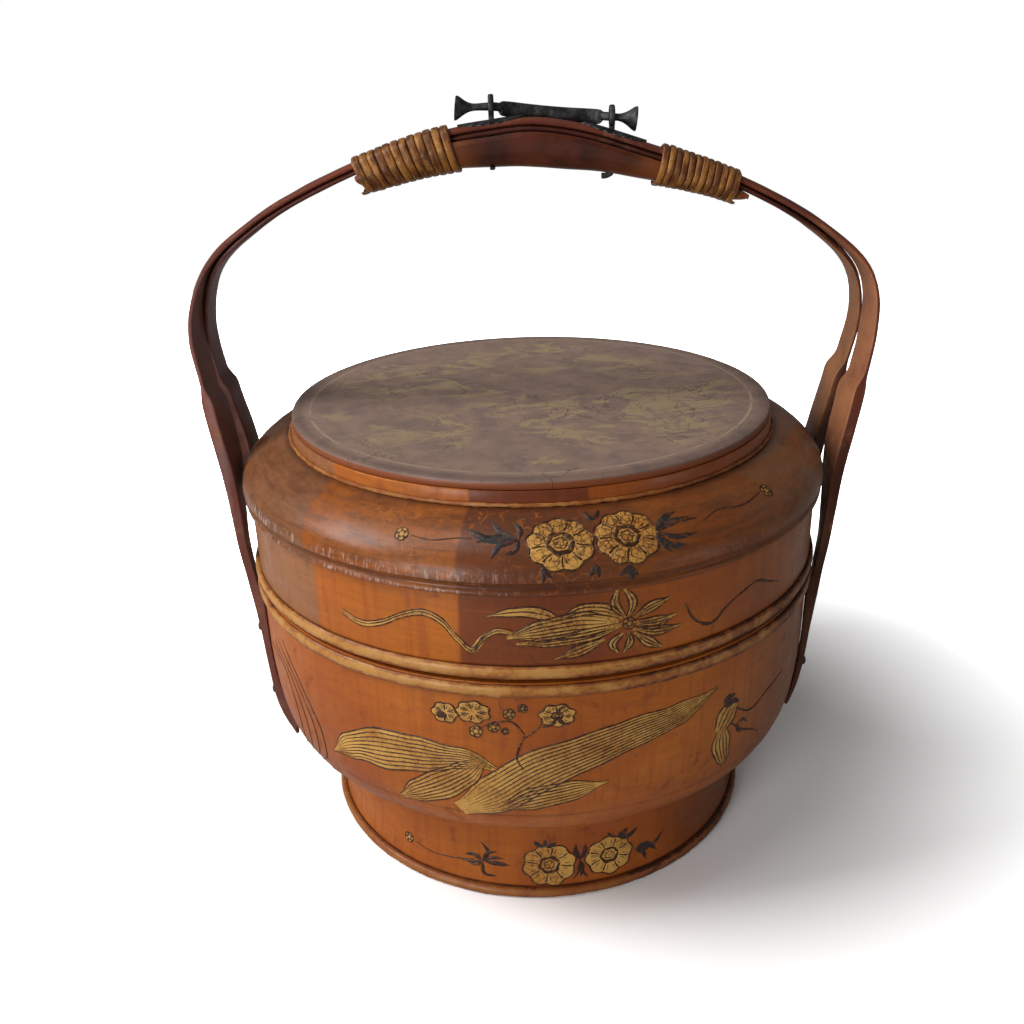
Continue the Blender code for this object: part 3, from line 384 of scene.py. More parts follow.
def lidOutline():
    ridge = lidBox[1].x
    low, high = lidBox[0].z, lidBox[1].z
    ridgeHeight = low + lidShape["ridgeRise"]
    edge = bodyRadius + (ridge - bodyRadius) * 0.35
    run = ridge - lidShape["neckRadius"]
    slope = [(ridge - run * back, ridgeHeight + (high - ridgeHeight) * up)
             for back, up in lidShape["slopeShares"]]
    rolled = [(edge, low), (ridge - (ridge - edge) * 0.45, low + lidShape["ridgeRise"] * 0.2),
              (ridge - (ridge - edge) * 0.12, low + lidShape["ridgeRise"] * 0.6),
              (ridge, ridgeHeight)]
    return rolled + slope + [(lidShape["neckRadius"], high)]


def lidEdge():
    low = lidBox[0].z
    return [(bodyRadius + out, low + up) for out, up in lidShape["edge"]]


def bandOutline():
    low, high = bandBox[0].z, bandBox[1].z
    return [(bandBox[1].x, low), (bandBox[1].x - bandShape["lean"], high)]


walls = {"foot": footOutline(), "bowl": bowlOutline(), "lid": lidOutline(),
         "tray": [(bodyRadius, trayBox[0].z), (bodyRadius, trayBox[1].z)]}

def turnWall(name, lacquer, node, body, outline, rounding=0.0006, **tones):
    material = lacquerMaterial(lacquer, **tones)
    settle(spinPiece(name, outline, material, rounding=rounding), body, "lacquer", node)


# a fold line, where grime and painted shade lie, has its height, half width and strength
def buildBody():
    inside = bodyRadius - wallThickness
    high = footBox[1].z
    inner = [(footShape["topRadius"] - wallThickness, high), (footBox[1].x - wallThickness, 0.0)]
    turnWall("footWall", "footLacquer", "foot_wall", "base", footOutline() + inner, redness=0.62,
             foldLines=((footHoopBox[1].z, 0.0016, 0.9), (high, 0.0022, 0.75)))
    low, high = bowlBox[0].z, bowlBox[1].z
    ledge, floor = bowlShape["ledgeRadius"], low + wallThickness
    inner = [(inside, high)]
    inner += [(inside + (ledge - inside) * back, low + bowlShape["turnHeight"] * up)
              for back, up in bowlShape["innerShares"]]
    inner += [(ledge, floor), (bowlShape["bottomRadius"], floor)]
    # the line 21.5 mm above the bowl's bottom is a painted shadow line on the smooth turn
    turnWall("bowlWall", "bowlLacquer", "bowl_wall", "base", bowlOutline() + inner, redness=0.42,
             foldLines=((bowlBeadBox[0].z, 0.0012, 0.8), (low + 0.0215, 0.0011, 0.38),
                        (low + 0.0004, 0.0016, 0.8)))
    low, high = trayBox[0].z, trayBox[1].z
    # the line just under the tray's top is painted shade under the lid's lip
    turnWall("trayWall", "trayLacquer", "tray_wall", "tray",
             [(bodyRadius, low), (bodyRadius, high), (inside, high), (inside, low)],
             patches=True, redness=0.55,
             foldLines=((trayBeadBox[1].z, 0.0010, 0.7), (high - 0.0022, 0.0010, 0.6)))
    low, high = lidBox[0].z, lidBox[1].z
    opening, neck = lidShape["openingRadius"], lidShape["neckRadius"]
    ceiling = high - wallThickness
    inner = [(opening, high), (opening, ceiling), (neck, ceiling),
             (inside, low + lidShape["innerRise"]), (inside, low)]
    # the line just above the lid's joint is painted shade in the groove over the lip; the ridges
    # get rubbed ticks and a painted highlight
    turnWall("lidShoulder", "lidLacquer", "lid_shoulder", "lid",
             lidEdge() + lidOutline()[3:] + inner, rounding=0.0,
             patches=True, redness=0.55, smoked=0.80, crackle=0.4,
             ridges=((low + 0.0062, 0.0036, 0.80), (low - 0.0008, 0.0014, 0.90)),
             foldLines=((low + 0.0017, 0.0012, 0.35), (low - 0.0022, 0.0006, 0.8),
                        (high, 0.0010, 0.5)))
    band = bandOutline()
    inner = [(radius - bandShape["thickness"], height) for radius, height in band[::-1]]
    turnWall("lidBand", "bandLacquer", "lid_edge_band", "lid", band + inner, rounding=0.0005,
             patches=True, redness=0.75, smoked=0.35, fadeOut=0.012,
             foldLines=((bandBox[0].z, 0.0008, 0.6),))
    print("body turned")


buildBody()


# Handle: two bent bamboo straps, the carved grip and the cane that binds them.
# The straps nest over the grip, part on their way down and turn to lie on the round wall.

handleShape = {
    "bow": 0.0212,              # how far the straps swell past the body
    "handRoom": 0.1163,
    "strapWidth": 0.0160,
    "bendWidth": 0.0180,
    "legWidth": 0.0195,
    "tipWidth": 0.0125,
    "topEdge": 0.0017,          # thickness at the strap's edges, over the grip
    "bendEdge": 0.0021,
    "legEdge": 0.0046,
    "tipEdge": 0.0016,
    "topCrown": 0.0013,
    "legCrown": 0.0005,
    "elbowStep": 0.0016,
    "elbowShift": 0.0017,
    "legLean": 0.0016,
    "spread": 0.0445,
    "softCorner": 0.00035,
    "stations": 300,
    "gap": 0.0003,
    "sink": 0.0002,
    "legGap": 0.0006,
    "wallDrop": 0.02752,
}
# shares of the climb from the tray's bead (0) to the top of the arch (1)
climbShares = {
    "part": 0.844, "partLeft": 0.750, "partEnd": -0.450, "pinch": 0.185,
    "nest": (0.508, 0.683), "nestLeft": (0.430, 0.610), "thin": (0.693, 0.912),
    "elbow": (0.381, 0.430), "seat": 0.27, "taper": -0.040, "twist": 0.36,
    "widen": (0.48, 0.70), "narrow": (-0.10, 0.10),
    "drawIn": (-0.22, 0.26, 0.95),          # the legs stand closer here
    "turnIn": (0.10, 0.30, 0.55, 0.80),     # the front straps are turned here
}
legDrawIn = {"backRight": 0.44, "frontRight": 0.30, "backLeft": 0.34, "frontLeft": 0.0}
legTurnIn = {"left": 6, "right": 7}
archShares = (
    (-0.918, 0.230), (-0.957, 0.416), (-0.968, 0.558), (-0.917, 0.691), (-0.782, 0.789),
    (-0.573, 0.881), (-0.266, 0.969), (-0.087, 0.993), (0.014, 1.0), (0.145, 0.986),
    (0.322, 0.9425), (0.616, 0.854), (0.835, 0.752), (0.961, 0.6535), (0.992, 0.5525),
    (0.962, 0.397), (0.915, 0.206))
rightSeatShares = (0.28, 0.34, 0.48, 0.68)
leftSeatShares = ((-0.065, 0.9380), (0.12, 0.9680), (0.355, 0.9895))
gripShape = {
    "halfWidth": 0.0115, "depth": 0.0142, "leftDepth": 0.0080, "rightDepth": 0.0055,
    "left": -0.0815, "right": 0.1075, "chamfer": 0.0050, "stations": 110,
    "fill": 0.0024, "fillMiddle": 0.46, "fillReach": 0.23,
}

beadHeight = bowlBeadBox[1].z - bowlBeadBox[0].z
beadRadius = bowlBeadBox[1].x
legTop = trayBeadBox[1].z
archTop = topBox[1].z + handleShape["handRoom"] + gripShape["depth"] + handleShape["gap"]
archHalfSpan = bodyRadius + handleShape["bow"]
strapTip = bowlBox[0].z + bowlShape["turnHeight"] * leftSeatShares[0][0]


def mix(start, end, share):
    return start + (end - start) * share


def smoothStep(low, high, value):
    share = min(max((value - low) / (high - low), 0.0), 1.0)
    return share * share * (3 - 2 * share)


def curveThrough(points, perSpan):
    points = [Vector(point) for point in points]
    points = [2 * points[0] - points[1]] + points + [2 * points[-1] - points[-2]]
    curve = []
    for p0, p1, p2, p3 in zip(points, points[1:], points[2:], points[3:]):
        t1 = math.sqrt((p1 - p0).length)
        t2 = t1 + math.sqrt((p2 - p1).length)
        t3 = t2 + math.sqrt((p3 - p2).length)
        for step in range(perSpan):
            t = mix(t1, t2, step / perSpan)
            a1 = p0.lerp(p1, t / t1)
            a2 = p1.lerp(p2, (t - t1) / (t2 - t1))
            a3 = p2.lerp(p3, (t - t2) / (t3 - t2))
            b1 = a1.lerp(a2, t / t2)
            b2 = a2.lerp(a3, (t - t1) / (t3 - t1))
            curve.append(b1.lerp(b2, (t - t1) / (t2 - t1)))
    curve.append(points[-2])
    return curve


def climb(height):
    return (height - legTop) / (archTop - legTop)


def strapSpread(height, end):
    shares = climbShares
    start, widest = shares["part"], handleShape["spread"]
    if end < 0:
        start, widest = shares["partLeft"], widest * (1 - shares["pinch"])
    share = (start - climb(height)) / (start - shares["partEnd"])
    return widest * math.sin(math.pi / 2 * min(max(share, 0.0), 1.0))


def drawnSpread(height, end, side):
    low, middle, high = climbShares["drawIn"]
    at = climb(height)
    hill = smoothStep(low, middle, at) * (1 - smoothStep(middle, high, at))
    leg = ("back" if side > 0 else "front") + ("Left" if end < 0 else "Right")
    return strapSpread(height, end) * (1 - legDrawIn[leg] * hill)


def strapTwist(height, end, side):
    full = math.asin(drawnSpread(height, end, side) / bodyRadius)
    return full * (1 - smoothStep(0.0, climbShares["twist"], climb(height)))


def strapSize(height):
    shape = handleShape
    share = climb(height)
    thin = 1 - smoothStep(*climbShares["thin"], share)
    elbow = 1 - smoothStep(*climbShares["elbow"], share)
    tip = 1 - smoothStep(climb(strapTip), climbShares["taper"], share)
    edge = mix(mix(shape["topEdge"], shape["bendEdge"], thin), shape["legEdge"], elbow)
    edge = mix(edge, shape["tipEdge"], tip)
    crown = mix(shape["topCrown"], shape["legCrown"], elbow) * (1 - tip * 0.6)
    bend = 1 - smoothStep(*climbShares["widen"], share)
    width = mix(mix(shape["strapWidth"], shape["bendWidth"], bend), shape["legWidth"], elbow)
    width = mix(shape["tipWidth"], width, smoothStep(*climbShares["narrow"], share))
    return width, edge, edge + crown


def belowElbow(height):
    share = climb(height)
    seated = smoothStep(0.0, climbShares["seat"], share)
    return (1 - smoothStep(*climbShares["elbow"], share)) * seated


def strapInset(length):
    point = archAt(length)
    inset = handleShape["elbowStep"] * belowElbow(point.y)
    beadLow = bowlBeadBox[0].z
    if point.y < beadLow:       # the inner face lies on the bowl
        reach = math.hypot(point.x, strapSpread(point.y, point.x))
        seat = min(max(reach - wallRadius(point.y) - 0.0002, 0.0), 0.006)
        inset += seat * 0.9 * (1 - smoothStep(beadLow - 0.006, beadLow, point.y))
    return inset


def wallRadius(height):
    outline = walls["bowl"]
    for (nearR, nearZ), (farR, farZ) in zip(outline, outline[1:]):
        if nearZ <= height <= farZ:
            return mix(nearR, farR, (height - nearZ) / (farZ - nearZ))
    return bodyRadius


def archCurve():
    turn = bowlShape["turnHeight"]
    low = bowlBox[0].z
    beadMiddle = bowlBeadBox[0].z + beadHeight / 2
    wall = beadMiddle - handleShape["wallDrop"]
    over = [(wall, wallRadius(wall)), (beadMiddle, beadRadius),
            (legTop, beadRadius + handleShape["legLean"])]
    left = [(low + turn * up, bodyRadius * out) for up, out in leftSeatShares]
    right = [(low + turn * up, wallRadius(low + turn * up)) for up in rightSeatShares]
    legs = []
    for end, seats in ((-1, left + over), (1, right + over)):
        legs.append([(end * math.sqrt((r + handleShape["legGap"]) ** 2
                                      - strapSpread(z, end) ** 2), z) for z, r in seats])
    arch = [(archHalfSpan * x, mix(legTop, archTop, z)) for x, z in archShares]
    return curveThrough(legs[0] + arch + legs[1][::-1], 16)


def lengthsAlong(points):
    lengths = [0.0]
    for near, far in zip(points, points[1:]):
        lengths.append(lengths[-1] + (far - near).length)
    return lengths


archPoints = archCurve()
archLengths = lengthsAlong(archPoints)
archTotal = archLengths[-1]
archStep = archTotal / 288


def archAt(length):
    length = min(max(length, 0.0), archTotal)
    index = min(max(bisect.bisect_left(archLengths, length), 1), len(archPoints) - 1)
    near, far = archLengths[index - 1], archLengths[index]
    return archPoints[index - 1].lerp(archPoints[index], (length - near) / (far - near))


def archFrame(length):
    tangent = (archAt(length + archStep) - archAt(length - archStep)).normalized()
    return archAt(length), tangent, Vector((-tangent.y, tangent.x))


def lengthWhere(axis, value, low, high):
    while abs(high - low) > 0.00001:
        middle = (low + high) / 2
        if archAt(middle)[axis] < value:
            low = middle
        else:
            high = middle
    return low


def lengthAtX(x):
    return lengthWhere(0, x, archTotal * 0.3, archTotal * 0.7)


def archLift(height, end):
    shares = climbShares["nestLeft"] if end < 0 else climbShares["nest"]
    return (strapSize(height)[2] - handleShape["sink"]) * smoothStep(*shares, climb(height))


def strapMiddle(length, side):
    point, _, normal = archFrame(length)
    place = point
    if side < 0:
        place = point + normal * archLift(point.y, point.x)
    spread = strapSpread(point.y, point.x)
    drawn = drawnSpread(point.y, point.x, side)
    x = math.copysign(math.sqrt(place.x ** 2 + spread ** 2 - drawn ** 2), place.x)
    return Vector((x, side * drawn, place.y))


def strapFrame(length, side):
    point = archAt(length)
    tangent = strapMiddle(length + archStep, side) - strapMiddle(length - archStep, side)
    tangent.normalize()
    across = (Vector((0, 1, 0)) - tangent * tangent.y).normalized()
    outward = tangent.cross(across)
    twist = side * strapTwist(point.y, point.x, side)
    if side < 0:
        low, rise, fall, high = climbShares["turnIn"]
        at = climb(point.y)
        hill = smoothStep(low, rise, at) * (1 - smoothStep(fall, high, at))
        twist += math.radians(legTurnIn["left" if point.x < 0 else "right"]) * hill
    outward = outward * math.cos(twist) + across * math.sin(twist)
    return strapMiddle(length, side), outward.cross(tangent), outward, point.y


def strapSection(width, edge, crown, inset):
    half = width / 2
    cut = min(0.0006, edge * 0.4)
    shoulder = mix(edge, crown, 0.8)
    return [(half - cut, -inset), (half, cut - inset), (half, edge), (half * 0.56, shoulder),
            (0.0, mix(shoulder, crown, 0.9)), (-half * 0.56, shoulder), (-half, edge),
            (-half, cut - inset), (-half + cut, -inset)]


def roundCorners(points, radius):
    rounded = []
    for before, point, after in zip(points[-1:] + points[:-1], points, points[1:] + points[:1]):
        point = Vector(point)
        back = Vector(before) - point
        ahead = Vector(after) - point
        reach = min(radius, back.length * 0.4, ahead.length * 0.4)
        first = point + back.normalized() * reach
        last = point + ahead.normalized() * reach
        rounded += [first, first.lerp(last, 0.5).lerp(point, 0.5), last]
    return rounded


def newPiece(name, points, faces, material):
    mesh = bpy.data.meshes.new(name)
    mesh.from_pydata(points, [], faces)
    mesh.materials.append(material)
    return hang(name, mesh)


def skin(name, rings, along, material):
    count = len(rings[0])
    corners = [tuple(point) for ring in rings for point in ring]
    last = len(corners) - count
    faces = []
    for base in range(0, last, count):
        for step in range(count):
            ahead = (step + 1) % count
            faces.append((base + step, base + ahead, base + count + ahead, base + count + step))
    faces += [tuple(range(count))[::-1], tuple(range(last, last + count))]
    piece = newPiece(name, corners, faces, material)
    mesh = piece.data
    middle = rings[len(rings) // 2]
    girth = lengthsAlong(middle + middle[:1])
    grain = mesh.uv_layers.new(name="grain").data
    for face in mesh.polygons[:-2]:
        row, step = divmod(face.index, count)
        places = ((row, step), (row, step + 1), (row + 1, step + 1), (row + 1, step))
        for loop, (r, s) in zip(face.loop_indices, places):
            grain[loop].uv = (along[r], girth[s])
    for face in mesh.polygons[-2:]:
        for loop in face.loop_indices:
            grain[loop].uv = mesh.vertices[mesh.loops[loop].vertex_index].co.yz
    startEdit(piece)
    endEdit()
    bpy.ops.object.shade_smooth_by_angle(angle=math.radians(40))
    return piece


def buildStrap(name, side, material, replaced):
    shape = handleShape
    low, high = climbShares["elbow"]
    lengths = [archTotal * step / shape["stations"] for step in range(shape["stations"] + 1)]
    cuts = []
    for share in (0.0, 0.25, 0.5, 0.75, 1.0):
        height = mix(legTop, archTop, mix(low, high, share))
        cuts.append(lengthWhere(1, height, 0.0, archTotal / 2))
        cuts.append(lengthWhere(1, height, archTotal, archTotal / 2))
    spacing = archTotal / shape["stations"]
    lengths = [at for at in lengths if min(abs(at - cut) for cut in cuts) > spacing * 0.4]
    rings = []
    lengths = sorted(lengths + cuts)
    for length in lengths:
        middle, across, outward, height = strapFrame(length, side)
        middle -= outward * (shape["elbowShift"] * belowElbow(height))
        section = roundCorners(strapSection(*strapSize(height), strapInset(length)),
                               shape["softCorner"])
        rings.append([middle + across * b + outward * n for b, n in section])
    piece = skin(name, rings, lengths, material)
    weather(piece, 0.00016, 0.011, 3 + side)
    weather(piece, 0.00005, 0.002, 9 + side)
    settle(piece, "base", "bamboo", replaced)


def onArch(length, across, rise):
    point, _, normal = archFrame(length)
    place = point + normal * rise
    return Vector((place.x, across, place.y))


def stackHeight(height):
    return 2 * strapSize(height)[2] - handleShape["sink"]


def gripSection(depth, fine=True):
    half = gripShape["halfWidth"]
    top = -handleShape["gap"]
    corner = half * 0.12
    side = [(half - corner, top), (half, top - corner * 1.5)]
    angles = (14, 25, 36, 47, 57, 68, 79) if fine else (25, 57)
    arc = []
    for angle in angles:
        turned = math.radians(angle)
        arc.append((half * math.cos(turned) ** 0.8, top - depth * math.sin(turned) ** 0.9))
    right = side + arc
    return right + [(0.0, top - depth)] + [(-b, n) for b, n in reversed(right)]


def gripDepth(share):
    rise = math.sin(math.pi * share)
    off = min(abs(share - gripShape["fillMiddle"]) / gripShape["fillReach"], 1.0)
    fill = gripShape["fill"] * (1 + math.cos(math.pi * off)) / 2
    if share < 0.5:
        return fill + mix(gripShape["leftDepth"], gripShape["depth"], rise)
    return fill + mix(gripShape["rightDepth"], gripShape["depth"], rise ** 1.8)


gripStart = lengthAtX(gripShape["left"])
gripEnd = lengthAtX(gripShape["right"])


def buildGrip(material):
    start, end = gripStart, gripEnd
    chamfer = gripShape["chamfer"] / (end - start)
    count = gripShape["stations"]
    shares = [0.0, chamfer * 0.25, chamfer * 0.6, chamfer]
    shares += [step / count for step in range(1, count) if chamfer < step / count < 1 - chamfer]
    shares += [1 - chamfer, 1 - chamfer * 0.6, 1 - chamfer * 0.25, 1.0]
    rings = []
    for share in shares:
        inward = min(share, 1 - share) / chamfer
        depth = gripDepth(share) * mix(0.55, 1.0, min(inward, 1.0) ** 0.7)
        rings.append([onArch(mix(start, end, share), b, n) for b, n in gripSection(depth)])
    piece = skin("gripBar", rings, [mix(start, end, share) for share in shares], material)
    weather(piece, 0.00022, 0.016, 5)
    settle(piece, "base", "bamboo", "grip_bar")


caneShape = {
    "left": {"width": 0.0038, "pitch": 0.0040, "start": -0.0350, "heading": -1, "lean": -0.0008},
    "right": {"width": 0.0031, "pitch": 0.0033, "start": 0.0652, "heading": 1, "lean": -0.0030},
    "thickness": 0.0015,
    "wander": 0.00035,
    "lift": 0.0005,
    "leanHeight": 0.02,
    "gap": 0.0006,
    "turns": 12,
    "loopPoints": 44,
    "section": ((-0.5, 0.0), (0.5, 0.0), (0.5, 0.50), (0.44, 0.78), (0.32, 0.94), (0.0, 1.0),
                (-0.32, 0.94), (-0.44, 0.78), (-0.5, 0.50)),
}


def bundleOutline(length):
    height = archAt(length).y
    width, edge, crown = strapSize(height)
    top = stackHeight(height)
    share = min(max((length - gripStart) / (gripEnd - gripStart), 0.0), 1.0)
    grip = gripSection(gripDepth(share), fine=False)
    corners = [Vector(point) for point in
               grip[len(grip) // 2:] + [(-width / 2, top - crown + edge), (0.0, top),
                                        (width / 2, top - crown + edge)] + grip[:len(grip) // 2]]
    hull = []
    for _ in range(2):      # drop the corners that lie inside their neighbours' line
        hull = []
        for index, point in enumerate(corners):
            before, after = corners[index - 1], corners[(index + 1) % len(corners)]
            if (point - before).cross(after - point) < 0:
                hull.append(point)
        corners = hull
    return hull


@functools.cache
def caneLoop(length):
    hull = bundleOutline(length)
    places = []
    for index, point in enumerate(hull):
        before, after = hull[index - 1], hull[(index + 1) % len(hull)]
        first = (point - before).normalized()
        last = (after - point).normalized()
        for share in (0.0, 0.33, 0.67, 1.0):
            heading = first.lerp(last, share).normalized()
            places.append((point, Vector((-heading.y, heading.x))))
    return places


def buildBinding(name, shape, material, replaced):
    cane = caneShape
    base = lengthAtX(shape["start"])
    count = cane["turns"] * cane["loopPoints"]
    rings = []
    travelled = []
    for index in range(-2, count + 3):
        turns = index / cane["loopPoints"]
        length = base + shape["heading"] * shape["pitch"] * turns
        wander = cane["wander"] * noise.noise(Vector((turns * 1.4, shape["start"] * 50, 2.0)))
        lift = cane["lift"] * abs(noise.noise(Vector((turns * 1.1, shape["start"] * 70, 5.0))))
        ring = []
        for edge in (-0.5, 0.0, 0.5):
            place = length + wander + shape["heading"] * edge * shape["width"]
            loop = caneLoop(round(place, 4))
            reach = [corner + normal * (cane["gap"] + cane["thickness"] / 2)
                     for corner, normal in loop]
            runs = lengthsAlong(reach + reach[:1])
            at = (turns % 1.0) * runs[-1]
            spot = min(bisect.bisect_right(runs, at) - 1, len(loop) - 1)
            share = (at - runs[spot]) / max(runs[spot + 1] - runs[spot], 1e-9)
            corner, normal = loop[spot]
            nextCorner, nextNormal = loop[(spot + 1) % len(loop)]
            ring.append((place, corner.lerp(nextCorner, share),
                         normal.lerp(nextNormal, share).normalized()))
        points = []
        for along, out in cane["section"]:
            side = 0 if along < 0 else 2
            share = abs(along) * 2
            place = mix(ring[1][0], ring[side][0], share)
            corner = ring[1][1].lerp(ring[side][1], share)
            normal = ring[1][2].lerp(ring[side][2], share).normalized()
            spot = corner + normal * (cane["gap"] + lift + out * cane["thickness"])
            place += shape["lean"] * (corner.y / cane["leanHeight"])
            points.append(onArch(place, spot.x, spot.y))
        rings.append(points)
        travelled.append(turns * 0.06)
    piece = skin(name, rings, travelled, material)
    settle(piece, "base", "rattan", replaced)


leafShape = {"length": 0.0310, "width": 0.0148, "thickness": 0.0008, "lobe": 0.0008,
             "lobes": 7, "left": -0.0153, "right": 0.0420}


def buildLeaf(name, x, material, replaced):
    shape = leafShape
    middle = lengthAtX(x)
    steps = 72
    crossing = [side / 6 for side in range(-6, 7)]
    rings = []
    along = []
    for step in range(steps + 1):
        share = -1 + 2 * step / steps
        length = middle + share * shape["length"] / 2
        width, edge, crown = strapSize(archAt(length).y)
        top = stackHeight(archAt(length).y) + 0.0001
        lobe = shape["lobe"] * abs(math.cos(math.pi * shape["lobes"] / 2 * share))
        half = (shape["width"] / 2 - shape["lobe"] / 2 + lobe) \
            * max(1 - abs(share) ** 2.4, 0.03) ** 0.5
        drop = [(crown - edge) * (2 * half * c / width) ** 2 for c in crossing]
        dome = [shape["thickness"] * (1 - 0.35 * abs(c) ** 4) for c in crossing]
        lower = [(half * c, top - d) for c, d in zip(crossing, drop)]
        upper = [(half * c, top - d + t) for c, d, t in zip(crossing, drop, dome)]
        rings.append([onArch(length, b, n) for b, n in lower + upper[::-1]])
        along.append(length - middle)
    piece = skin(name, rings, along, material)
    settle(piece, "base", "iron", replaced)


nailShape = ((0.0009, -0.0075), (0.0009, -0.0010), (0.0020, -0.0009), (0.0023, 0.0001),
             (0.0022, 0.0005), (0.0018, 0.0009), (0.0010, 0.0012), (0.0003, 0.0013))


def buildNail(node, side, material):
    low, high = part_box(node)
    height = (low.z + high.z) / 2
    end = 0.0 if low.x < 0 else archTotal
    middle, across, outward, height = strapFrame(lengthWhere(1, height, end, archTotal / 2), side)
    upward = outward.cross(across)
    seat = middle + outward * strapSize(height)[2]
    rings = []
    for radius, rise in nailShape:
        turned = [math.tau * step / 20 for step in range(20)]
        rings.append([seat + outward * rise + (across * math.cos(t) + upward * math.sin(t)) * radius
                      for t in turned])
    piece = skin(node.replace("strap_nail", "nail"), rings, [rise for _, rise in nailShape],
                 material)
    weather(piece, 0.00012, 0.0012, 4)
    settle(piece, "base", "iron", node)


def forgedCopy(name, node, material, body, levels, edge):
    piece = nodes[node].copy()
    piece.data = nodes[node].data.copy()
    piece.name = name
    piece.data.name = name
    bpy.context.scene.collection.objects.link(piece)
    startEdit(piece)
    bpy.ops.mesh.remove_doubles(threshold=0.00002)
    bpy.ops.mesh.tris_convert_to_quads(face_threshold=math.radians(35),
                                       shape_threshold=math.radians(50))
    endEdit()
    roundEdges(piece, edge, 2, 42)
    smooth = piece.modifiers.new("smooth", "SUBSURF")
    smooth.levels = levels
    smooth.render_levels = levels
    bpy.ops.object.modifier_apply(modifier="smooth")
    dress(piece, material)
    bpy.ops.object.shade_smooth_by_angle(angle=math.radians(45))
    settle(piece, body, "iron", node)


strapLook = {"brown": (0.20, 0.050, 0.022), "wine": (0.105, 0.026, 0.018),
             "grey": (0.22, 0.115, 0.105), "caramel": (0.40, 0.17, 0.075),
             "dark": (0.020, 0.009, 0.008)}


def strapMaterial(name, scuffs, shade, paintedShade):
    material, place = startMaterial(name, strapLook, 0.08, 0.25, specular=0.14)
    grain = grainPlace()
    fibre = cloud(stretch(grain, (16, 1500, 1)), 1.0, 4.0, 0.65)
    mottled = cloud(place, 60.0, 5.0, 0.65)
    x, _, z = axesOf(place)
    facing = axesOf(put("ShaderNodeNewGeometry").outputs["Normal"])
    inner = ease(times(facing[0], x), 0.02, -0.06)
    rightSide = ease(x, -0.02, 0.05)
    startTone(ease(cloud(stretch(grain, (22, 60, 1)), 1.0, 4.0, 0.6), 0.3, 0.7), "brown", "wine")
    # painted shade: the whole strap darkened, for the back strap
    layer(paintedShade, "dark")
    pale = blendTone(rightSide, strapLook["grey"], strapLook["caramel"])
    layer(times(inner, ease(z, 0.33, 0.30), ease(mottled, 0.30, 0.60, shade * 0.5, shade)), pale)
    # painted shade: the right-hand legs below the elbow are darkened
    layer(times(rightSide, ease(z, 0.238, 0.198)), "dark", 0.60)
    layer(times(ease(mottled, 0.54, 0.68), ease(fibre, 0.35, 0.65)), "caramel", scuffs)
    layer(ease(fibre, 0.60, 0.82), "dark", 0.5)
    finishMaterial(ease(mottled, 0.3, 0.7, 0.26, 0.50), plus(fibre, mottled), 0.35, 0.0005)
    return material


gripLook = {"mahogany": (0.038, 0.010, 0.006), "red": (0.105, 0.022, 0.009),
            "ends": (0.34, 0.095, 0.022), "middle": 0.014, "reach": 0.056}


def gripMaterial():
    look = gripLook
    material, place = startMaterial("gripLacquer", look, 0.25, 0.18)
    fibre = cloud(stretch(grainPlace(), (14, 700, 1)), 1.0, 4.0, 0.6)
    patchy = cloud(place, 34.0, 4.0, 0.6)
    startTone(ease(patchy, 0.35, 0.68), "mahogany", "red")
    off = calc("ABSOLUTE", minus(axesOf(place)[0], look["middle"]))
    layer(ease(plus(off, times(patchy, 0.012)), look["reach"] - 0.022, look["reach"] + 0.004),
          "ends", 0.55)
    layer(ease(fibre, 0.55, 0.80), "mahogany", 0.5)
    finishMaterial(ease(patchy, 0.3, 0.7, 0.24, 0.40), plus(fibre, patchy), 0.25, 0.0005)
    return material


caneLook = {"golden": (0.35, 0.140, 0.028), "brown": (0.115, 0.034, 0.010),
            "pale": (0.60, 0.38, 0.14), "dark": (0.025, 0.008, 0.004)}


def caneMaterial():
    material, place = startMaterial("caneSkin", caneLook, 0.15, 0.3)
    grain = grainPlace()
    fibre = cloud(stretch(grain, (60, 3800, 1)), 1.0, 3.0, 0.6)
    mottled = cloud(place, 120.0, 4.0, 0.6)
    startTone(ease(cloud(stretch(grain, (90, 260, 1)), 1.0, 3.0, 0.6), 0.38, 0.60),
              "golden", "brown")
    layer(ease(fibre, 0.47, 0.30), "dark", 0.75)
    layer(ease(mottled, 0.55, 0.75), "brown", 0.8)
    edge = cloud(stretch(grain, (150, 1, 1)), 1.0, 2.0, 0.5)
    layer(times(ease(fibre, 0.52, 0.70), ease(edge, 0.4, 0.6)), "pale", 0.6)
    layer(ease(mottled, 0.40, 0.26), "dark", 0.8)
    finishMaterial(ease(mottled, 0.3, 0.7, 0.30, 0.55), plus(fibre, mottled), 0.4, 0.0003)
    return material


ironLook = {"black": (0.034, 0.034, 0.036), "worn": (0.105, 0.102, 0.102),
            "rust": (0.080, 0.040, 0.024)}


def ironMaterial(name, rusty, engraved=False):
    material, place = startMaterial(name, ironLook, metallic=0.7)
    mottled = cloud(place, 160.0, 5.0, 0.65)
    startTone(ease(mottled, 0.40, 0.72), "black", "worn")
    layer(ease(cloud(place, 420.0, 3.0, 0.6), 0.50, 0.66), "rust", rusty)
    height = plus(mottled, times(cells(place, 420.0), 0.6))
    if engraved:
        strokes = put("ShaderNodeTexWave",
                      {"Vector": stretch(grainPlace(), (1, 0.35, 1)), "Scale": 130.0,
                       "Distortion": 1.2, "Detail": 1.0}, bands_direction="DIAGONAL")
        cut = ease(strokes.outputs["Fac"], 0.22, 0.05)
        layer(cut, "black", 0.8)
        height = minus(height, times(cut, 1.4))
    finishMaterial(ease(mottled, 0.3, 0.7, 0.34, 0.62), height, 0.5, 0.0005)
    return material


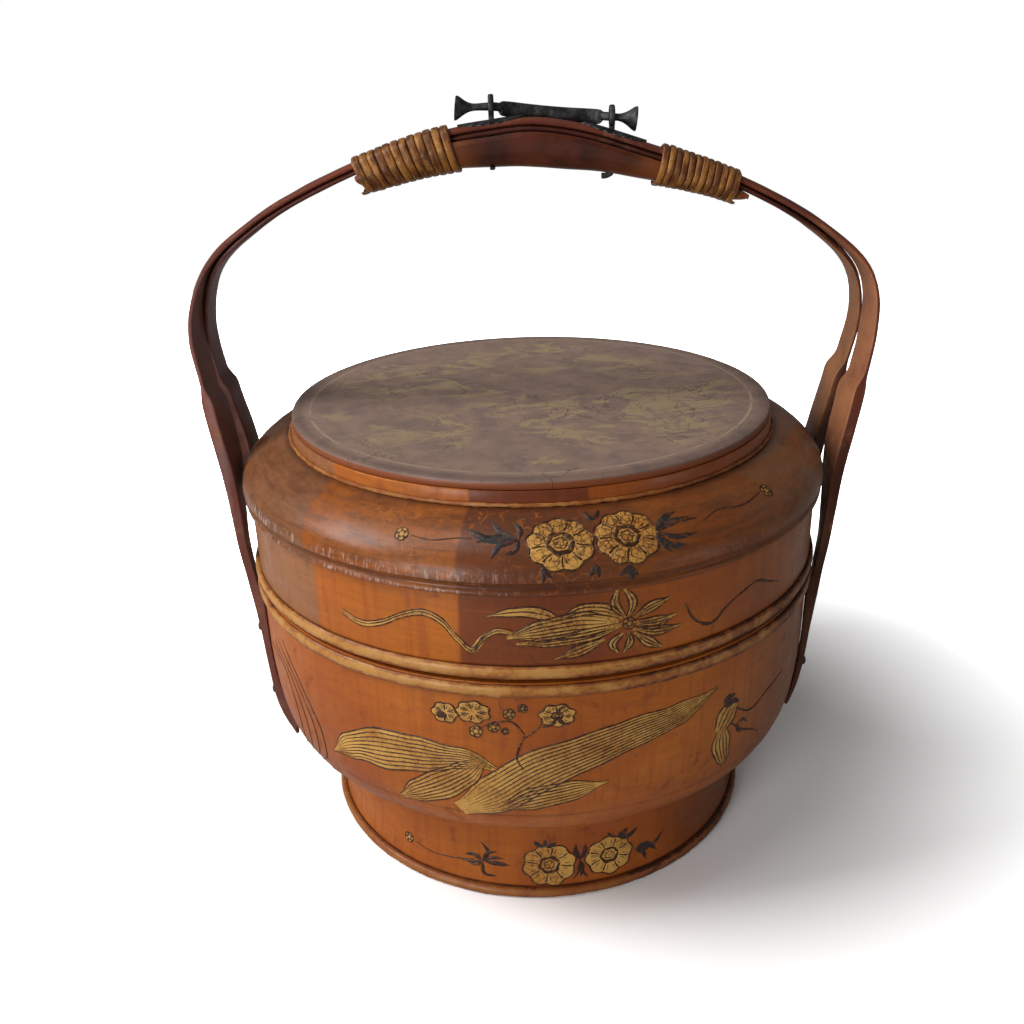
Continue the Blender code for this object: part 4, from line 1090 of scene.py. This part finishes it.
def buildHandle():
    sides = (("left", "Left"), ("right", "Right"))
    frontStrap = strapMaterial("frontStrap", scuffs=0.55, shade=0.75, paintedShade=0.0)
    # the back strap is a copy of the strap finish with painted shade over all of it
    backStrap = strapMaterial("backStrap", scuffs=0.35, shade=0.85, paintedShade=0.55)
    caneSkin = caneMaterial()
    forgedIron = ironMaterial("forgedIron", rusty=0.15)
    leafIron = ironMaterial("leafIron", rusty=0.5, engraved=True)
    nailSkin = ironMaterial("nailSkin", rusty=0.9)
    buildStrap("strapFront", -1, frontStrap, "hoop_front")
    buildStrap("strapBack", 1, backStrap, "hoop_back")
    buildGrip(gripMaterial())
    for side, end in sides:
        buildBinding("cane" + end, caneShape[side], caneSkin, "binding_" + side)
    for side, end in sides:
        buildLeaf("leaf" + end, leafShape[side], leafIron, "leaf_plate_" + side)
    for side, end in sides:
        forgedCopy("eye" + end, "eye_pin_" + side, forgedIron, "base", 1, 0.0002)
    forgedCopy("bailForged", "bail", forgedIron, "bail", 2, 0.0004)
    for node in sorted(nodes):
        if node.startswith("strap_nail"):
            buildNail(node, -1 if "front" in node else 1, nailSkin)
    print("handle built")


buildHandle()


# Gilt beads: split bamboo round the foot and at the joints

giltLook = {"gold": (0.39, 0.160, 0.028), "tan": (0.46, 0.225, 0.062),
            "red": (0.24, 0.066, 0.018), "dark": (0.070, 0.024, 0.011)}


def giltMaterial(name, wear, middle, tint=0.0):
    material, place = startMaterial(name, giltLook, 0.12, 0.3)
    angle, height = aroundAndUp(place)
    mottled = cloud(place, 60.0, 5.0, 0.68)
    flecks = cloud(stretch(place, (1, 1, 1.6)), 260.0, 4.0, 0.6)
    startTone(ease(mottled, 0.34, 0.66), "tan", "gold")
    layer(tint, "red")
    up = minus(height, middle)
    # gilt worn away at random and at the top edge, with painted shade on the bead's lower half and
    # on the right-hand side
    wornAndShaded = plus(times(flecks, 0.45), times(mottled, 0.6), ease(up, 0.0002, -0.0022, 0.0, 0.16),
                ease(up, 0.0019, 0.0027, 0.0, 0.14), ease(angle, -0.15, 0.9, 0.0, 0.15))
    layer(ease(wornAndShaded, 0.60 - wear * 0.2, 0.78 - wear * 0.2), "red", 0.85)
    layer(ease(wornAndShaded, 0.76 - wear * 0.12, 0.88 - wear * 0.12), "dark")
    finishMaterial(ease(mottled, 0.3, 0.7, 0.30, 0.52), plus(flecks, mottled), 0.45, 0.0006)
    return material


beadTurns = (-70, -55, -38, -20, 0, 20, 38, 55, 70)
cordShape = {"radius": 0.0009, "out": 0.0005, "up": 0.0006, "crumble": 0.00035}


def buildBead(name, node, depth, wear, tint, body):
    low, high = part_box(node)
    inner = high.x - depth
    middle = (low.z + high.z) / 2
    half = (high.z - low.z) / 2
    outline = [(inner, high.z - half * 0.02), (inner, low.z + half * 0.02)]
    for turned in (math.radians(angle) for angle in beadTurns):
        outline.append((inner + depth * math.cos(turned) ** 0.85,
                        middle + half * math.sin(turned) / math.sin(math.radians(70))))
    material = giltMaterial(name.replace("Bead", "Gilt"), wear, middle, tint)
    piece = spinPiece(name, outline, material, steps=240)
    weather(piece, 0.00022, 0.010, 2, 0.4)
    weather(piece, 0.00008, 0.003, 7)
    settle(piece, body, "gilt", node)


def buildCord():
    shape = cordShape
    outline = [(bandBox[1].x + shape["out"] + shape["radius"] * math.cos(math.tau * step / 8),
                bandBox[0].z + shape["up"] + shape["radius"] * math.sin(math.tau * step / 8))
               for step in range(8)]
    material = giltMaterial("cordGilt", 0.95, bandBox[0].z, 0.25)
    piece = spinPiece("bandCord", outline, material, steps=420)
    weather(piece, shape["crumble"], 0.0016, 12)
    weather(piece, shape["crumble"], 0.0050, 14)
    settle(piece, "lid", "gilt")


buildBead("bowlBead", "bowl_rim_bead", 0.0021, 0.42, 0.0, "base")
buildBead("trayBead", "tray_bead", 0.0021, 0.42, 0.0, "tray")
buildBead("footBead", "foot_hoop", footShape["hoopDepth"], 0.60, 0.70, "base")
buildCord()
print("beads laid")


# The lid's top board

topLook = {"ground": (0.32, 0.205, 0.155), "rim": (0.21, 0.145, 0.120),
           "gold": (0.42, 0.315, 0.16), "line": (0.50, 0.36, 0.22), "dark": (0.055, 0.032, 0.026),
           "side": (0.22, 0.058, 0.018), "crackScale": 62.0, "crackWidth": 0.020,
           "lineRadius": 0.1145, "lineWidth": 0.0006}


def topMaterial():
    look = topLook
    material, place = startMaterial("topPaint", look, 0.25, 0.35)
    x, y, z = axesOf(place)
    flat = put("ShaderNodeCombineXYZ", {"X": x, "Y": y}).outputs[0]
    radius = put("ShaderNodeVectorMath", {0: flat}, operation="LENGTH").outputs["Value"]
    line = look["lineRadius"]
    wide = cloud(flat, 17.0, 4.0, 0.6)
    mottled = cloud(flat, 55.0, 6.0, 0.7, 0.4)
    startTone(ease(mottled, 0.35, 0.7), "ground", "rim")
    sprays = cloud(stretch(flat, (30, 48, 1)), 1.0, 5.0, 0.7, 1.6)
    layer(times(ease(sprays, 0.50, 0.55), ease(radius, line, line - 0.012),
                ease(wide, 0.42, 0.52)), "gold", 0.62)
    layer(times(nearTo(radius, line, look["lineWidth"] * 1.5, 0.4),
                ease(mottled, 0.40, 0.52)), "line", 0.6)
    layer(ease(cells(flat, 190.0), 0.10, 0.05), "dark", 0.6)
    split = times(cracks(flat, look["crackScale"], look["crackWidth"]), ease(wide, 0.48, 0.60))
    layer(split, "dark", 0.55)
    layer(ease(radius, line + 0.001, line + 0.006), "dark", 0.35)
    layer(ease(z, topBox[1].z - 0.0006, topBox[1].z - 0.0015), "side")
    layer(ease(cloud(stretch(flat, (5, 900, 1)), 1.0, 3.0, 0.6), 0.66, 0.76), "line", 0.25)
    height = plus(times(mottled, 0.7), times(cloud(flat, 420.0, 3.0, 0.6), 0.25))
    finishMaterial(ease(mottled, 0.3, 0.75, 0.40, 0.62), minus(height, split), 0.5, 0.0008)
    return material


def buildTop():
    radius = topBox[1].x
    low, high = topBox[0].z, topBox[1].z
    outline = [(0.0, low), (radius - 0.0003, low), (radius, low + 0.0004),
               (radius, high - 0.0014), (radius - 0.0004, high - 0.0005),
               (radius - 0.0013, high - 0.0001), (radius - 0.0035, high)]
    outline += [(radius * share, high - 0.0001) for share in (0.85, 0.6, 0.3, 0.0)]
    piece = spinPiece("topBoard", outline, topMaterial(), closed=False)
    settle(piece, "lid", "top_paint", "lid_top_board")


buildTop()


boardLook = {"brown": (0.16, 0.062, 0.028), "red": (0.26, 0.095, 0.036),
             "dark": (0.045, 0.020, 0.012)}


def boardMaterial():
    material, place = startMaterial("innerBoard", boardLook, 0.15, 0.35)
    grain = cloud(stretch(place, (10, 240, 240)), 1.0, 4.0, 0.6)
    mottled = cloud(place, 36.0, 5.0, 0.6)
    startTone(ease(mottled, 0.3, 0.7), "brown", "red")
    layer(ease(grain, 0.5, 0.78), "dark", 0.6)
    finishMaterial(ease(mottled, 0.3, 0.7, 0.40, 0.60), grain, 0.25, 0.0004)
    return material


innerBoard = boardMaterial()
for node in ("bowl_floor", "tray_floor", "tray_lip", "lid_lip"):
    dress(nodes[node], innerBoard)
print("boards laid")


# Painted ornament: leaves, blossoms and ribbons in gold, drawn over in ink.
# A place on a wall is (arc, rise) in millimetres: the arc runs to the right from the
# front, at the wall's widest, and the rise runs up along the wall's own outline.

wallReach = {"bowl": bodyRadius, "foot": footBox[1].x, "tray": bodyRadius, "lid": lidBox[1].x}
wallStart = {"bowl": 0.0, "foot": 5.2, "tray": 7.0, "lid": 0.0}
wallBody = {"bowl": "base", "foot": "base", "tray": "tray", "lid": "lid"}
paintShape = {
    "goldLift": 0.13,       # millimetres
    "inkLift": 0.21,
    "edgeSink": -0.06,
    "vein": 0.36,           # half widths of lines
    "outline": 0.42,
    "veinReach": (0.04, 0.97),
}
paintStores = {}


def profileAt(wall, rise):
    left = (rise + wallStart[wall]) / 1000
    outline = walls[wall]
    for index, (near, far) in enumerate(zip(outline, outline[1:])):
        run = math.dist(near, far)
        if left <= run or index == len(outline) - 2:
            share = left / run
            return (mix(near[0], far[0], share), mix(near[1], far[1], share),
                    (far[1] - near[1]) / run, (near[0] - far[0]) / run)
        left -= run


def wallSpot(wall, arc, rise, lift):
    angle = arc / 1000 / wallReach[wall]
    radius, height, outR, outZ = profileAt(wall, rise)
    radius += outR * lift / 1000
    return (radius * math.sin(angle), -radius * math.cos(angle), height + outZ * lift / 1000)


def layGrid(wall, kind, rows, ring=False):
    points, faces = paintStores.setdefault((wall, kind), ([], []))
    base = len(points)
    count = len(rows[0])
    for row in rows:
        points += [wallSpot(wall, *spot) for spot in row]
    for row in range(len(rows) - 1):
        for step in range(count if ring else count - 1):
            ahead = (step + 1) % count
            near, far = base + row * count, base + (row + 1) * count
            faces.append((near + step, near + ahead, far + ahead, far + step))


def alongWidths(widths, share):
    at = min(max(share, 0.0), 1.0) * (len(widths) - 1)
    index = min(int(at), len(widths) - 2)
    t = at - index
    return mix(widths[index], widths[index + 1], t * t * (3 - 2 * t))


def spineFrames(points, perSpan):
    spaced = [points[0]]
    for point in points[1:]:
        if math.dist(point, spaced[-1]) > 0.05:
            spaced.append(point)
    if len(spaced) < 2:
        spaced.append((points[0][0] + 0.1, points[0][1]))
    line = curveThrough(spaced, perSpan)
    runs = lengthsAlong(line)
    frames = []
    for index, point in enumerate(line):
        heading = (line[min(index + 1, len(line) - 1)] - line[max(index - 1, 0)]).normalized()
        frames.append((point, Vector((-heading.y, heading.x)), runs[index] / runs[-1]))
    return frames


def beside(point, side, reach):
    return point.x + side.x * reach, point.y + side.y * reach


def stroke(wall, kind, points, widths, perSpan=8, waver=0.0):
    lift = paintShape["goldLift"] if kind == "gold" else paintShape["inkLift"]
    sink = paintShape["edgeSink"]
    rows = []
    for point, side, share in spineFrames(points, perSpan):
        half = alongWidths(widths, share)
        if waver:
            half *= 1 + waver * noise.noise(Vector((point.x * 0.35, point.y * 0.35, 1.7)))
        rows.append([(*beside(point, side, half * c), up) for c, up in
                     ((-1, sink), (-0.8, lift), (0, lift), (0.8, lift), (1, sink))])
    for end in (0, -1):
        rows[end] = [(arc, rise, sink) for arc, rise, up in rows[end]]
    layGrid(wall, kind, rows)


def leaf(wall, points, widths, veins):
    frames = spineFrames(points, 12)
    lift, sink = paintShape["goldLift"], paintShape["edgeSink"]
    veinStart, veinEnd = paintShape["veinReach"]
    crossing = [-1, -0.94] + [step / 4 - 1 for step in range(1, 8)] + [0.94, 1]
    rows = []
    for index, (point, side, share) in enumerate(frames):
        half = alongWidths(widths, share)
        end = index in (0, len(frames) - 1)
        rows.append([(*beside(point, side, half * c), sink if end or abs(c) == 1 else lift)
                     for c in crossing])
    layGrid(wall, "gold", rows)
    lines = [(-1, paintShape["outline"], 0.0, 1.0), (1, paintShape["outline"], 0.0, 1.0)]
    for vein in range(veins):
        cross = -1 + 2 * (vein + 1) / (veins + 1)
        start = veinStart + 0.10 * noise.noise(Vector((vein * 1.7, points[0][0], 0.3)))
        end = veinEnd + 0.12 * noise.noise(Vector((vein * 2.3, points[0][1], 4.1)))
        lines.append((cross, paintShape["vein"], start, end))
    for cross, width, start, end in lines:
        path = []
        for point, side, share in frames[::3] + frames[-1:]:
            if start <= share <= end:
                sway = 0.22 * noise.noise(Vector((point.x * 0.11, cross * 3, 2.2)))
                path.append(beside(point, side, alongWidths(widths, share) * cross + sway))
        if len(path) > 2:
            stroke(wall, "ink", path, (width * 0.3, width, width * 1.1, width * 0.9, width * 0.2),
                   perSpan=3, waver=0.5)


def scallop(radius, petals, angle, depth):
    return radius * (1 - depth + depth * abs(math.cos(petals * angle / 2)) ** 0.75)


def blossom(wall, centre, radius, petals=8, turn=0.0, depth=0.22, squash=1.0, eye=0.40):
    def at(reach, angle):
        return (centre[0] + reach * math.cos(angle), centre[1] + reach * math.sin(angle) * squash)

    def inkLine(spots, widths, perSpan=3, waver=0.0):
        stroke(wall, "ink", [at(*spot) for spot in spots], widths, perSpan, waver)

    steps = petals * 10
    turns = [math.tau * step / steps for step in range(steps + 1)]
    edge = [(scallop(radius, petals, angle, depth), angle + turn) for angle in turns]
    lift = paintShape["goldLift"]
    rings = [(0.02, lift), (0.25, lift), (0.5, lift), (0.75, lift), (0.95, lift),
             (1.0, paintShape["edgeSink"])]
    layGrid(wall, "gold", [[(*at(reach * share, angle), up) for reach, angle in edge[:-1]]
                           for share, up in rings], ring=True)
    inkLine(edge[::2], (0.40, 0.40), perSpan=2, waver=0.5)
    for petal in range(petals):
        angle = math.tau * (petal + 0.5) / petals + turn
        near, far = radius * eye, radius * (1 - depth)
        inkLine(((near, angle + 0.05), ((near + far) / 2, angle - 0.03), (far, angle)),
                (0.28, 0.42, 0.60), perSpan=4)
        near, far = radius * (eye + 0.12), radius * 0.78
        middle = math.tau * petal / petals + turn
        for lean in (-0.16, 0.16):
            inkLine(((near, middle + lean), ((near + far) / 2, middle + lean * 1.3),
                     (far, middle + lean)), (0.10, 0.22, 0.08))
    if eye > 0.3:
        for size, width, waves, wave in ((radius * eye * 0.86, radius * 0.075, 6, 0.06),
                                         (radius * eye * 0.45, 0.3, 5, 0.12)):
            circle = [math.tau * step / 36 for step in range(37)]
            inkLine([(size * (1 + wave * math.cos(waves * angle)), angle + turn)
                     for angle in circle], (width, width), waver=0.6)
        for dot in range(3):
            angle = math.tau * dot / 3 + turn + 0.4
            inkLine([(reach, angle) for reach in (0.2, radius * eye * 0.2, radius * eye * 0.4)],
                    (0.1, 0.28, 0.1))


def sprig(wall, root, *tips):
    for tip, bend, size in tips:
        middle = ((root[0] + tip[0]) / 2 - (tip[1] - root[1]) * bend,
                  (root[1] + tip[1]) / 2 + (tip[0] - root[0]) * bend)
        stroke(wall, "dark", [root, middle, tip], (0.3, size * 0.9, size * 0.9 * 0.8, 0.05),
               waver=0.35)


def bud(wall, place, radius, stem=None):
    blossom(wall, place, radius, petals=5, depth=0.14, eye=0.2)
    if stem:
        stroke(wall, "ink", stem, (0.12, 0.28, 0.3, 0.2), waver=0.6)


# What is drawn on each wall, in the order in which it is laid. After its radius a blossom
# has its petals, its turn, the depth of the scallops, its squash and the size of its eye.
ribbon = ((-92, 14), (-80, 11), (-69, 14), (-58, 20), (-48, 23), (-40, 20), (-33, 12),
          (-27, 7), (-22, 13), (-16, 17), (-9, 16))
ornament = {
    "bowl": (
        (leaf, ((-112, 53), (-93, 65), (-71, 71), (-48, 74), (-29, 75), (-17, 70)),
         (0.2, 7.5, 11.5, 10.0, 6.0, 1.2), 8),
        (leaf, ((-69, 43), (-58, 50), (-45, 58), (-33, 67), (-24, 76)),
         (1.5, 7.0, 8.5, 7.0, 2.5), 7),
        (leaf, ((-38, 43), (-20, 55), (0, 70), (22, 79), (45, 86), (68, 90), (89, 97)),
         (5.0, 11.5, 11.5, 9.5, 8.0, 6.0, 0.3), 10),
        (leaf, ((-19, 46), (-4, 53), (12, 57), (33, 61)), (1.2, 6.8, 6.0, 0.2), 6),
        (stroke, "ink", ((-5, 90), (-8, 83), (-9, 77), (-6, 71)), (0.2, 0.55, 0.5, 0.3)),
        (stroke, "ink", ((-5, 90), (-11, 97), (-19, 96), (-27, 92)), (0.3, 0.5, 0.35, 0.1)),
        (stroke, "ink", ((-6, 88), (0, 93), (4, 99)), (0.3, 0.4, 0.1)),
        (bud, (-27, 91), 3.0), (bud, (-19, 94), 2.6), (bud, (-12, 101), 2.6),
        (bud, (-6, 104), 2.0), (bud, (-14, 92), 1.6),
        (blossom, (-41, 99), 6.4, 6, 0.0, 0.22, 0.85, 0.2),
        (blossom, (-28, 101), 8.2, 7, 0.5, 0.22, 0.72, 0.2),
        (sprig, (-45, 97), ((-40, 96), 0.3, 2.6), ((-42, 99), -0.3, 1.6)),
        (blossom, (9, 100), 8.5, 7, 0.3, 0.25, 0.70, 0.33),
        (sprig, (9, 100), ((2, 94), 0.2, 1.2), ((15, 95), -0.2, 1.2), ((14, 105), 0.2, 1.0)),
        (leaf, ((93, 72), (94, 61), (97, 52), (99, 44)), (3.0, 6.0, 4.5, 0.3), 4),
        (leaf, ((91, 70), (95, 77), (100, 84)), (3.5, 6.5, 4.0), 3),
        (sprig, (95, 82), ((101, 88), 0.3, 2.4), ((97, 90), 0.2, 1.7), ((104, 82), 0.25, 2.0)),
        (stroke, "ink", ((101, 80), (113, 73), (128, 77), (146, 80)), (0.4, 0.6, 0.5, 0.1)),
        (stroke, "ink", ((99, 72), (108, 64), (119, 58), (127, 52)), (0.4, 0.6, 0.4, 0.1)),
        (sprig, (104, 70), ((109, 62), -0.2, 1.3), ((112, 66), 0.2, 1.0)),
        *[(stroke, "ink", ((-152 - shift, 101 - shift * 0.6), (-132 - shift * 0.8, 82),
                           (-119 - shift, 62), (-121 - shift, 44), (-136 - shift * 0.7, 31)),
           (0.1, strength, strength * 1.3, strength, 0.1), 12, 0.7)
          for shift, strength in ((0, 0.50), (7, 0.4), (15, 0.32), (24, 0.3))],
        (stroke, "ink", ((-160, 22), (-140, 25), (-120, 33), (-112, 40)),
         (0.1, 0.35, 0.4, 0.1), 8, 0.6)),
    "foot": (
        (sprig, (-30, 13), ((-40, 15), -0.2, 1.7), ((-37, 10), 0.2, 1.2), ((-31, 25), -0.3, 1.2),
         ((-22, 20), 0.2, 1.3), ((-22, 5), -0.4, 1.2), ((-15, 12), 0.0, 1.6),
         ((-44, 12), 0.1, 1.0), ((-18, 16), 0.1, 1.2)),
        (sprig, (3, 24), ((-3, 28), 0.1, 1.6), ((3, 29), 0.0, 1.2), ((9, 27), -0.1, 1.4)),
        (sprig, (21, 14), ((19, 25), 0.1, 1.8), ((24, 24), -0.1, 1.8), ((21, 4), 0.1, 1.6),
         ((25, 3), -0.1, 1.2), ((17, 3), 0.1, 1.2)),
        (sprig, (41, 24), ((48, 28), -0.1, 1.6), ((54, 26), -0.2, 2.0), ((36, 28), 0.1, 1.2)),
        (sprig, (52, 12), ((63, 12), 0.1, 2.0), ((72, 18), -0.2, 1.3), ((66, 6), 0.2, 1.6),
         ((58, 4), 0.2, 1.6), ((60, 9), 0.1, 1.4)),
        (blossom, (5, 13), 14.2, 8, 0.25, 0.15, 0.90),
        (blossom, (37, 14), 13.4, 8, 0.05, 0.15, 0.86),
        (bud, (-75, 12.5), 2.9, ((-71, 12), (-60, 10), (-46, 11), (-34, 13)))),
    "tray": (
        (stroke, "gold", ribbon, (0.5, 1.4, 1.7, 1.6, 1.5, 1.8, 1.6, 1.5, 1.6, 1.3, 0.6), 10),
        *[(stroke, "ink", [(arc + edge * 0.25, rise + edge * 1.45) for arc, rise in ribbon],
           (0.1, 0.30, 0.34, 0.3, 0.34, 0.26, 0.3, 0.1), 8, 0.6) for edge in (-1, 0.15, 1)],
        (leaf, ((-20, 24), (-10, 26), (0, 26), (12, 22)), (0.3, 2.0, 2.6, 1.0), 1),
        (leaf, ((-12, 14), (2, 17), (18, 19), (36, 18)), (1.0, 5.0, 6.2, 2.6), 5),
        (leaf, ((-8, 11), (8, 12), (24, 14), (38, 17)), (0.6, 2.6, 3.0, 1.2), 3),
        (leaf, ((10, 22), (20, 26), (30, 25), (38, 20)), (0.5, 2.6, 2.6, 1.0), 2),
        (leaf, ((39, 20), (34, 27), (35, 34)), (0.8, 1.9, 0.8), 1),
        (leaf, ((40, 20), (42, 27), (38, 34)), (0.8, 1.9, 0.8), 1),
        (leaf, ((42, 19), (50, 23), (60, 26)), (0.8, 2.4, 0.3), 2),
        (leaf, ((42, 17), (52, 15), (63, 17)), (1.2, 3.0, 0.5), 3),
        (leaf, ((42, 14), (53, 11), (66, 11)), (0.8, 2.4, 0.3), 2),
        (leaf, ((38, 13), (33, 8), (36, 3)), (0.8, 1.8, 0.4), 1),
        (leaf, ((40, 13), (41, 8), (38, 3)), (0.8, 1.8, 0.4), 1),
        (leaf, ((30, 11), (20, 7), (8, 3)), (0.8, 2.7, 0.3), 2),
        (leaf, ((43, 12), (50, 6), (57, 2)), (0.8, 2.4, 0.4), 2),
        (blossom, (40.5, 17), 2.9, 5, 0.0, 0.12, 1.0, 0.2),
        (stroke, "ink", ((67, 21), (71, 13), (77, 8), (83, 7), (90, 12), (100, 16), (110, 18),
                         (121, 14), (131, 10)),
         (0.2, 0.7, 0.9, 0.8, 0.4, 0.5, 0.7, 0.5, 0.1), 10, 0.7)),
    "lid": (
        (sprig, (-6, 24), ((-31, 29), 0.1, 2.2), ((-26, 22), -0.1, 1.9), ((-18, 15), -0.2, 2.0),
         ((-20, 34), 0.1, 1.6), ((-9, 33), -0.2, 1.4), ((-12, 17), 0.2, 1.5)),
        (sprig, (4, 12), ((4, 5), 0.0, 1.4), ((8, 7), -0.1, 1.2)),
        (sprig, (26, 12), ((22, 7), 0.1, 1.5), ((27, 6), 0.0, 1.3)),
        (sprig, (40, 10), ((40, 2), 0.1, 2.0), ((44, 5), -0.1, 1.4), ((35, 6), 0.1, 1.4)),
        (sprig, (55, 22), ((79, 24), 0.1, 2.0), ((70, 30), 0.1, 1.7), ((68, 14), -0.2, 1.9),
         ((60, 12), -0.1, 1.4), ((75, 18), -0.1, 1.5)),
        (sprig, (28, 32), ((26, 38), 0.1, 1.5), ((33, 38), -0.1, 1.2)),
        (blossom, (12, 22), 15.2, 9, 0.2, 0.13, 0.82, 0.42),
        (blossom, (42, 22.5), 15.2, 9, 0.0, 0.13, 0.84, 0.40),
        (bud, (-60, 23), 3.1, ((-56, 23), (-45, 22), (-33, 24), (-27, 24))),
        (bud, (127, 24), 3.2, ((80, 22), (92, 25), (106, 23), (123, 25)))),
}

paintLook = {
    "gold": (0.60, 0.33, 0.080), "deepGold": (0.44, 0.20, 0.042), "pale": (0.66, 0.50, 0.28),
    "ink": (0.030, 0.012, 0.008), "blackGreen": (0.017, 0.026, 0.027),
    "crazing": {"lid": 0.85, "tray": 0.6, "bowl": 0.35, "foot": 0.5},
}


def paintMaterial(wall, kind):
    look = paintLook
    material, place = startMaterial(wall + kind.capitalize() + "Paint", look, 0.08)
    lacquerTone(place, wall in ("tray", "lid"))
    worn, bench["look"] = bench["tone"], look
    grit = cloud(place, 520.0, 4.0, 0.7)
    hazy = cloud(place, 48.0, 4.0, 0.6)
    if kind == "gold":
        startTone(ease(hazy, 0.32, 0.66), "deepGold", "gold")
        layer(times(cracks(place, 330.0, 0.09),
                    ease(hazy, 0.62, 0.44, 0.12, look["crazing"][wall])), "ink")
        layer(ease(cloud(place, 130.0, 5.0, 0.7), 0.64, 0.72), "pale", 0.55)
        kept = ease(plus(grit, times(hazy, 0.35)), 0.50, 0.66, 0.45, 0.96)
    elif kind == "ink":
        startTone(ease(grit, 0.45, 0.75, 0.0, 0.4), "ink", "deepGold")
        kept = ease(plus(grit, times(hazy, 0.5)), 0.44, 0.62, 0.55, 0.97)
    else:
        startTone(ease(hazy, 0.3, 0.7), "blackGreen", "ink")
        kept = ease(grit, 0.34, 0.52, 0.55, 0.97)
    bench["tone"] = blendTone(kept, worn, bench["tone"])
    finishMaterial(ease(grit, 0.3, 0.7, 0.34, 0.55), grit, 0.3, 0.0002)
    return material


def layPaint():
    for (wall, kind), (points, faces) in paintStores.items():
        name = wall + kind.capitalize()
        piece = newPiece(name, points, faces, paintMaterial(wall, kind))
        build = bmesh.new()
        build.from_mesh(piece.data)
        for face in build.faces:
            middle = face.calc_center_median()
            if face.normal.dot(Vector((middle.x, middle.y, 0.02))) < 0:
                face.normal_flip()
        build.to_mesh(piece.data)
        build.free()
        piece.data.shade_smooth()
        settle(piece, wallBody[wall], "gilt" if kind == "gold" else "lacquer")
        print("painted", name, len(faces))


for wall, drawings in ornament.items():
    for draw, *facts in drawings:
        draw(wall, *facts)
layPaint()


# Camera, floor and light

cameraView = {
    "lens": 36.046,
    "place": (0.0, -0.5214, 0.3931),
    "pitch": 0.4134,     # radians down
    "roll": 0.0303,
    "yaw": -0.0213,
}


def addCamera():
    pitch, roll, yaw = cameraView["pitch"], cameraView["roll"], cameraView["yaw"]
    level = Vector((math.cos(yaw), -math.sin(yaw), 0))
    upward = Vector((math.sin(pitch) * math.sin(yaw), math.sin(pitch) * math.cos(yaw),
                     math.cos(pitch)))
    ahead = Vector((math.cos(pitch) * math.sin(yaw), math.cos(pitch) * math.cos(yaw),
                    -math.sin(pitch)))
    right = math.cos(roll) * level - math.sin(roll) * upward
    top = math.sin(roll) * level + math.cos(roll) * upward
    turned = Matrix((right, top, -ahead)).transposed().to_4x4()
    turned.translation = cameraView["place"]
    camera = hang("camera", bpy.data.cameras.new("camera"))
    camera.data.lens = cameraView["lens"]
    camera.data.sensor_width = 36
    camera.data.clip_start = 0.01
    camera.matrix_world = turned
    bpy.context.scene.camera = camera


lamps = {
    "window": {"place": (-1.30, -0.20, 1.28), "size": 0.8, "power": 20.5},
    "frontLeft": {"place": (-1.10, -1.60, 0.42), "size": 0.8, "power": 19.0},
    "lowRight": {"place": (1.45, -0.85, 0.20), "size": 0.5, "power": 1.6},
}
sunLight = {"strength": 0.60, "spread": 25, "aim": (0.35, 0.12, -1.0)}
backdrop = {"floorColour": (0.45, 0.45, 0.45), "nearColour": (1.38, 1.38, 1.38),
            "farColour": (5.0, 5.0, 5.0), "fade": (0.16, 0.55), "lookAt": (0, 0, 0.15),
            "floorRadius": 1.6, "skyStrength": 0.13}


def aimLight(holder, way):
    holder.rotation_euler = Vector(way).to_track_quat("-Z", "Y").to_euler()


def seenApart(tree, plain, shown, output):      # shown to the camera, plain to all other rays
    rays = put("ShaderNodeLightPath").outputs["Is Camera Ray"]
    mixed = put("ShaderNodeMixShader", {0: rays, 1: plain.outputs[0], 2: shown.outputs[0]})
    tree.links.new(mixed.outputs[0], tree.nodes[output].inputs["Surface"])


def addStudio():
    for name, lamp in lamps.items():
        light = bpy.data.lights.new(name, "AREA")
        light.size = lamp["size"]
        light.energy = lamp["power"]
        holder = hang(name, light)
        holder.location = lamp["place"]
        aimLight(holder, Vector(backdrop["lookAt"]) - holder.location)
    sun = bpy.data.lights.new("sun", "SUN")
    sun.energy = sunLight["strength"]
    sun.angle = math.radians(sunLight["spread"])
    aimLight(hang("sun", sun), sunLight["aim"])
    bpy.ops.object.select_all(action="DESELECT")
    bpy.ops.mesh.primitive_circle_add(vertices=96, radius=backdrop["floorRadius"],
                                      fill_type="NGON")
    floor = bpy.context.object
    floor.name = "floor"
    material, place = startMaterial("floor", backdrop)
    plain = put("ShaderNodeBsdfDiffuse", {"Color": (*backdrop["floorColour"], 1)})
    reach = put("ShaderNodeVectorMath", {0: place}, operation="LENGTH").outputs["Value"]
    startTone(ease(reach, *backdrop["fade"]), "nearColour", "farColour")
    shown = put("ShaderNodeBsdfDiffuse", {"Color": bench["tone"]})
    seenApart(bench["tree"], plain, shown, "Material Output")
    floor.data.materials.append(material)
    world = bpy.data.worlds.new("studio")
    bpy.context.scene.world = world
    world.use_nodes = True
    bench["tree"] = world.node_tree
    ground = world.node_tree.nodes["Background"]
    ground.inputs["Color"].default_value = (1, 1, 1, 1)
    ground.inputs["Strength"].default_value = backdrop["skyStrength"]
    white = put("ShaderNodeBackground", {"Color": (1, 1, 1, 1), "Strength": 1.0})
    seenApart(world.node_tree, ground, white, "World Output")
    bpy.context.scene.view_settings.view_transform = "Standard"


addCamera()
addStudio()
print("camera and light placed")
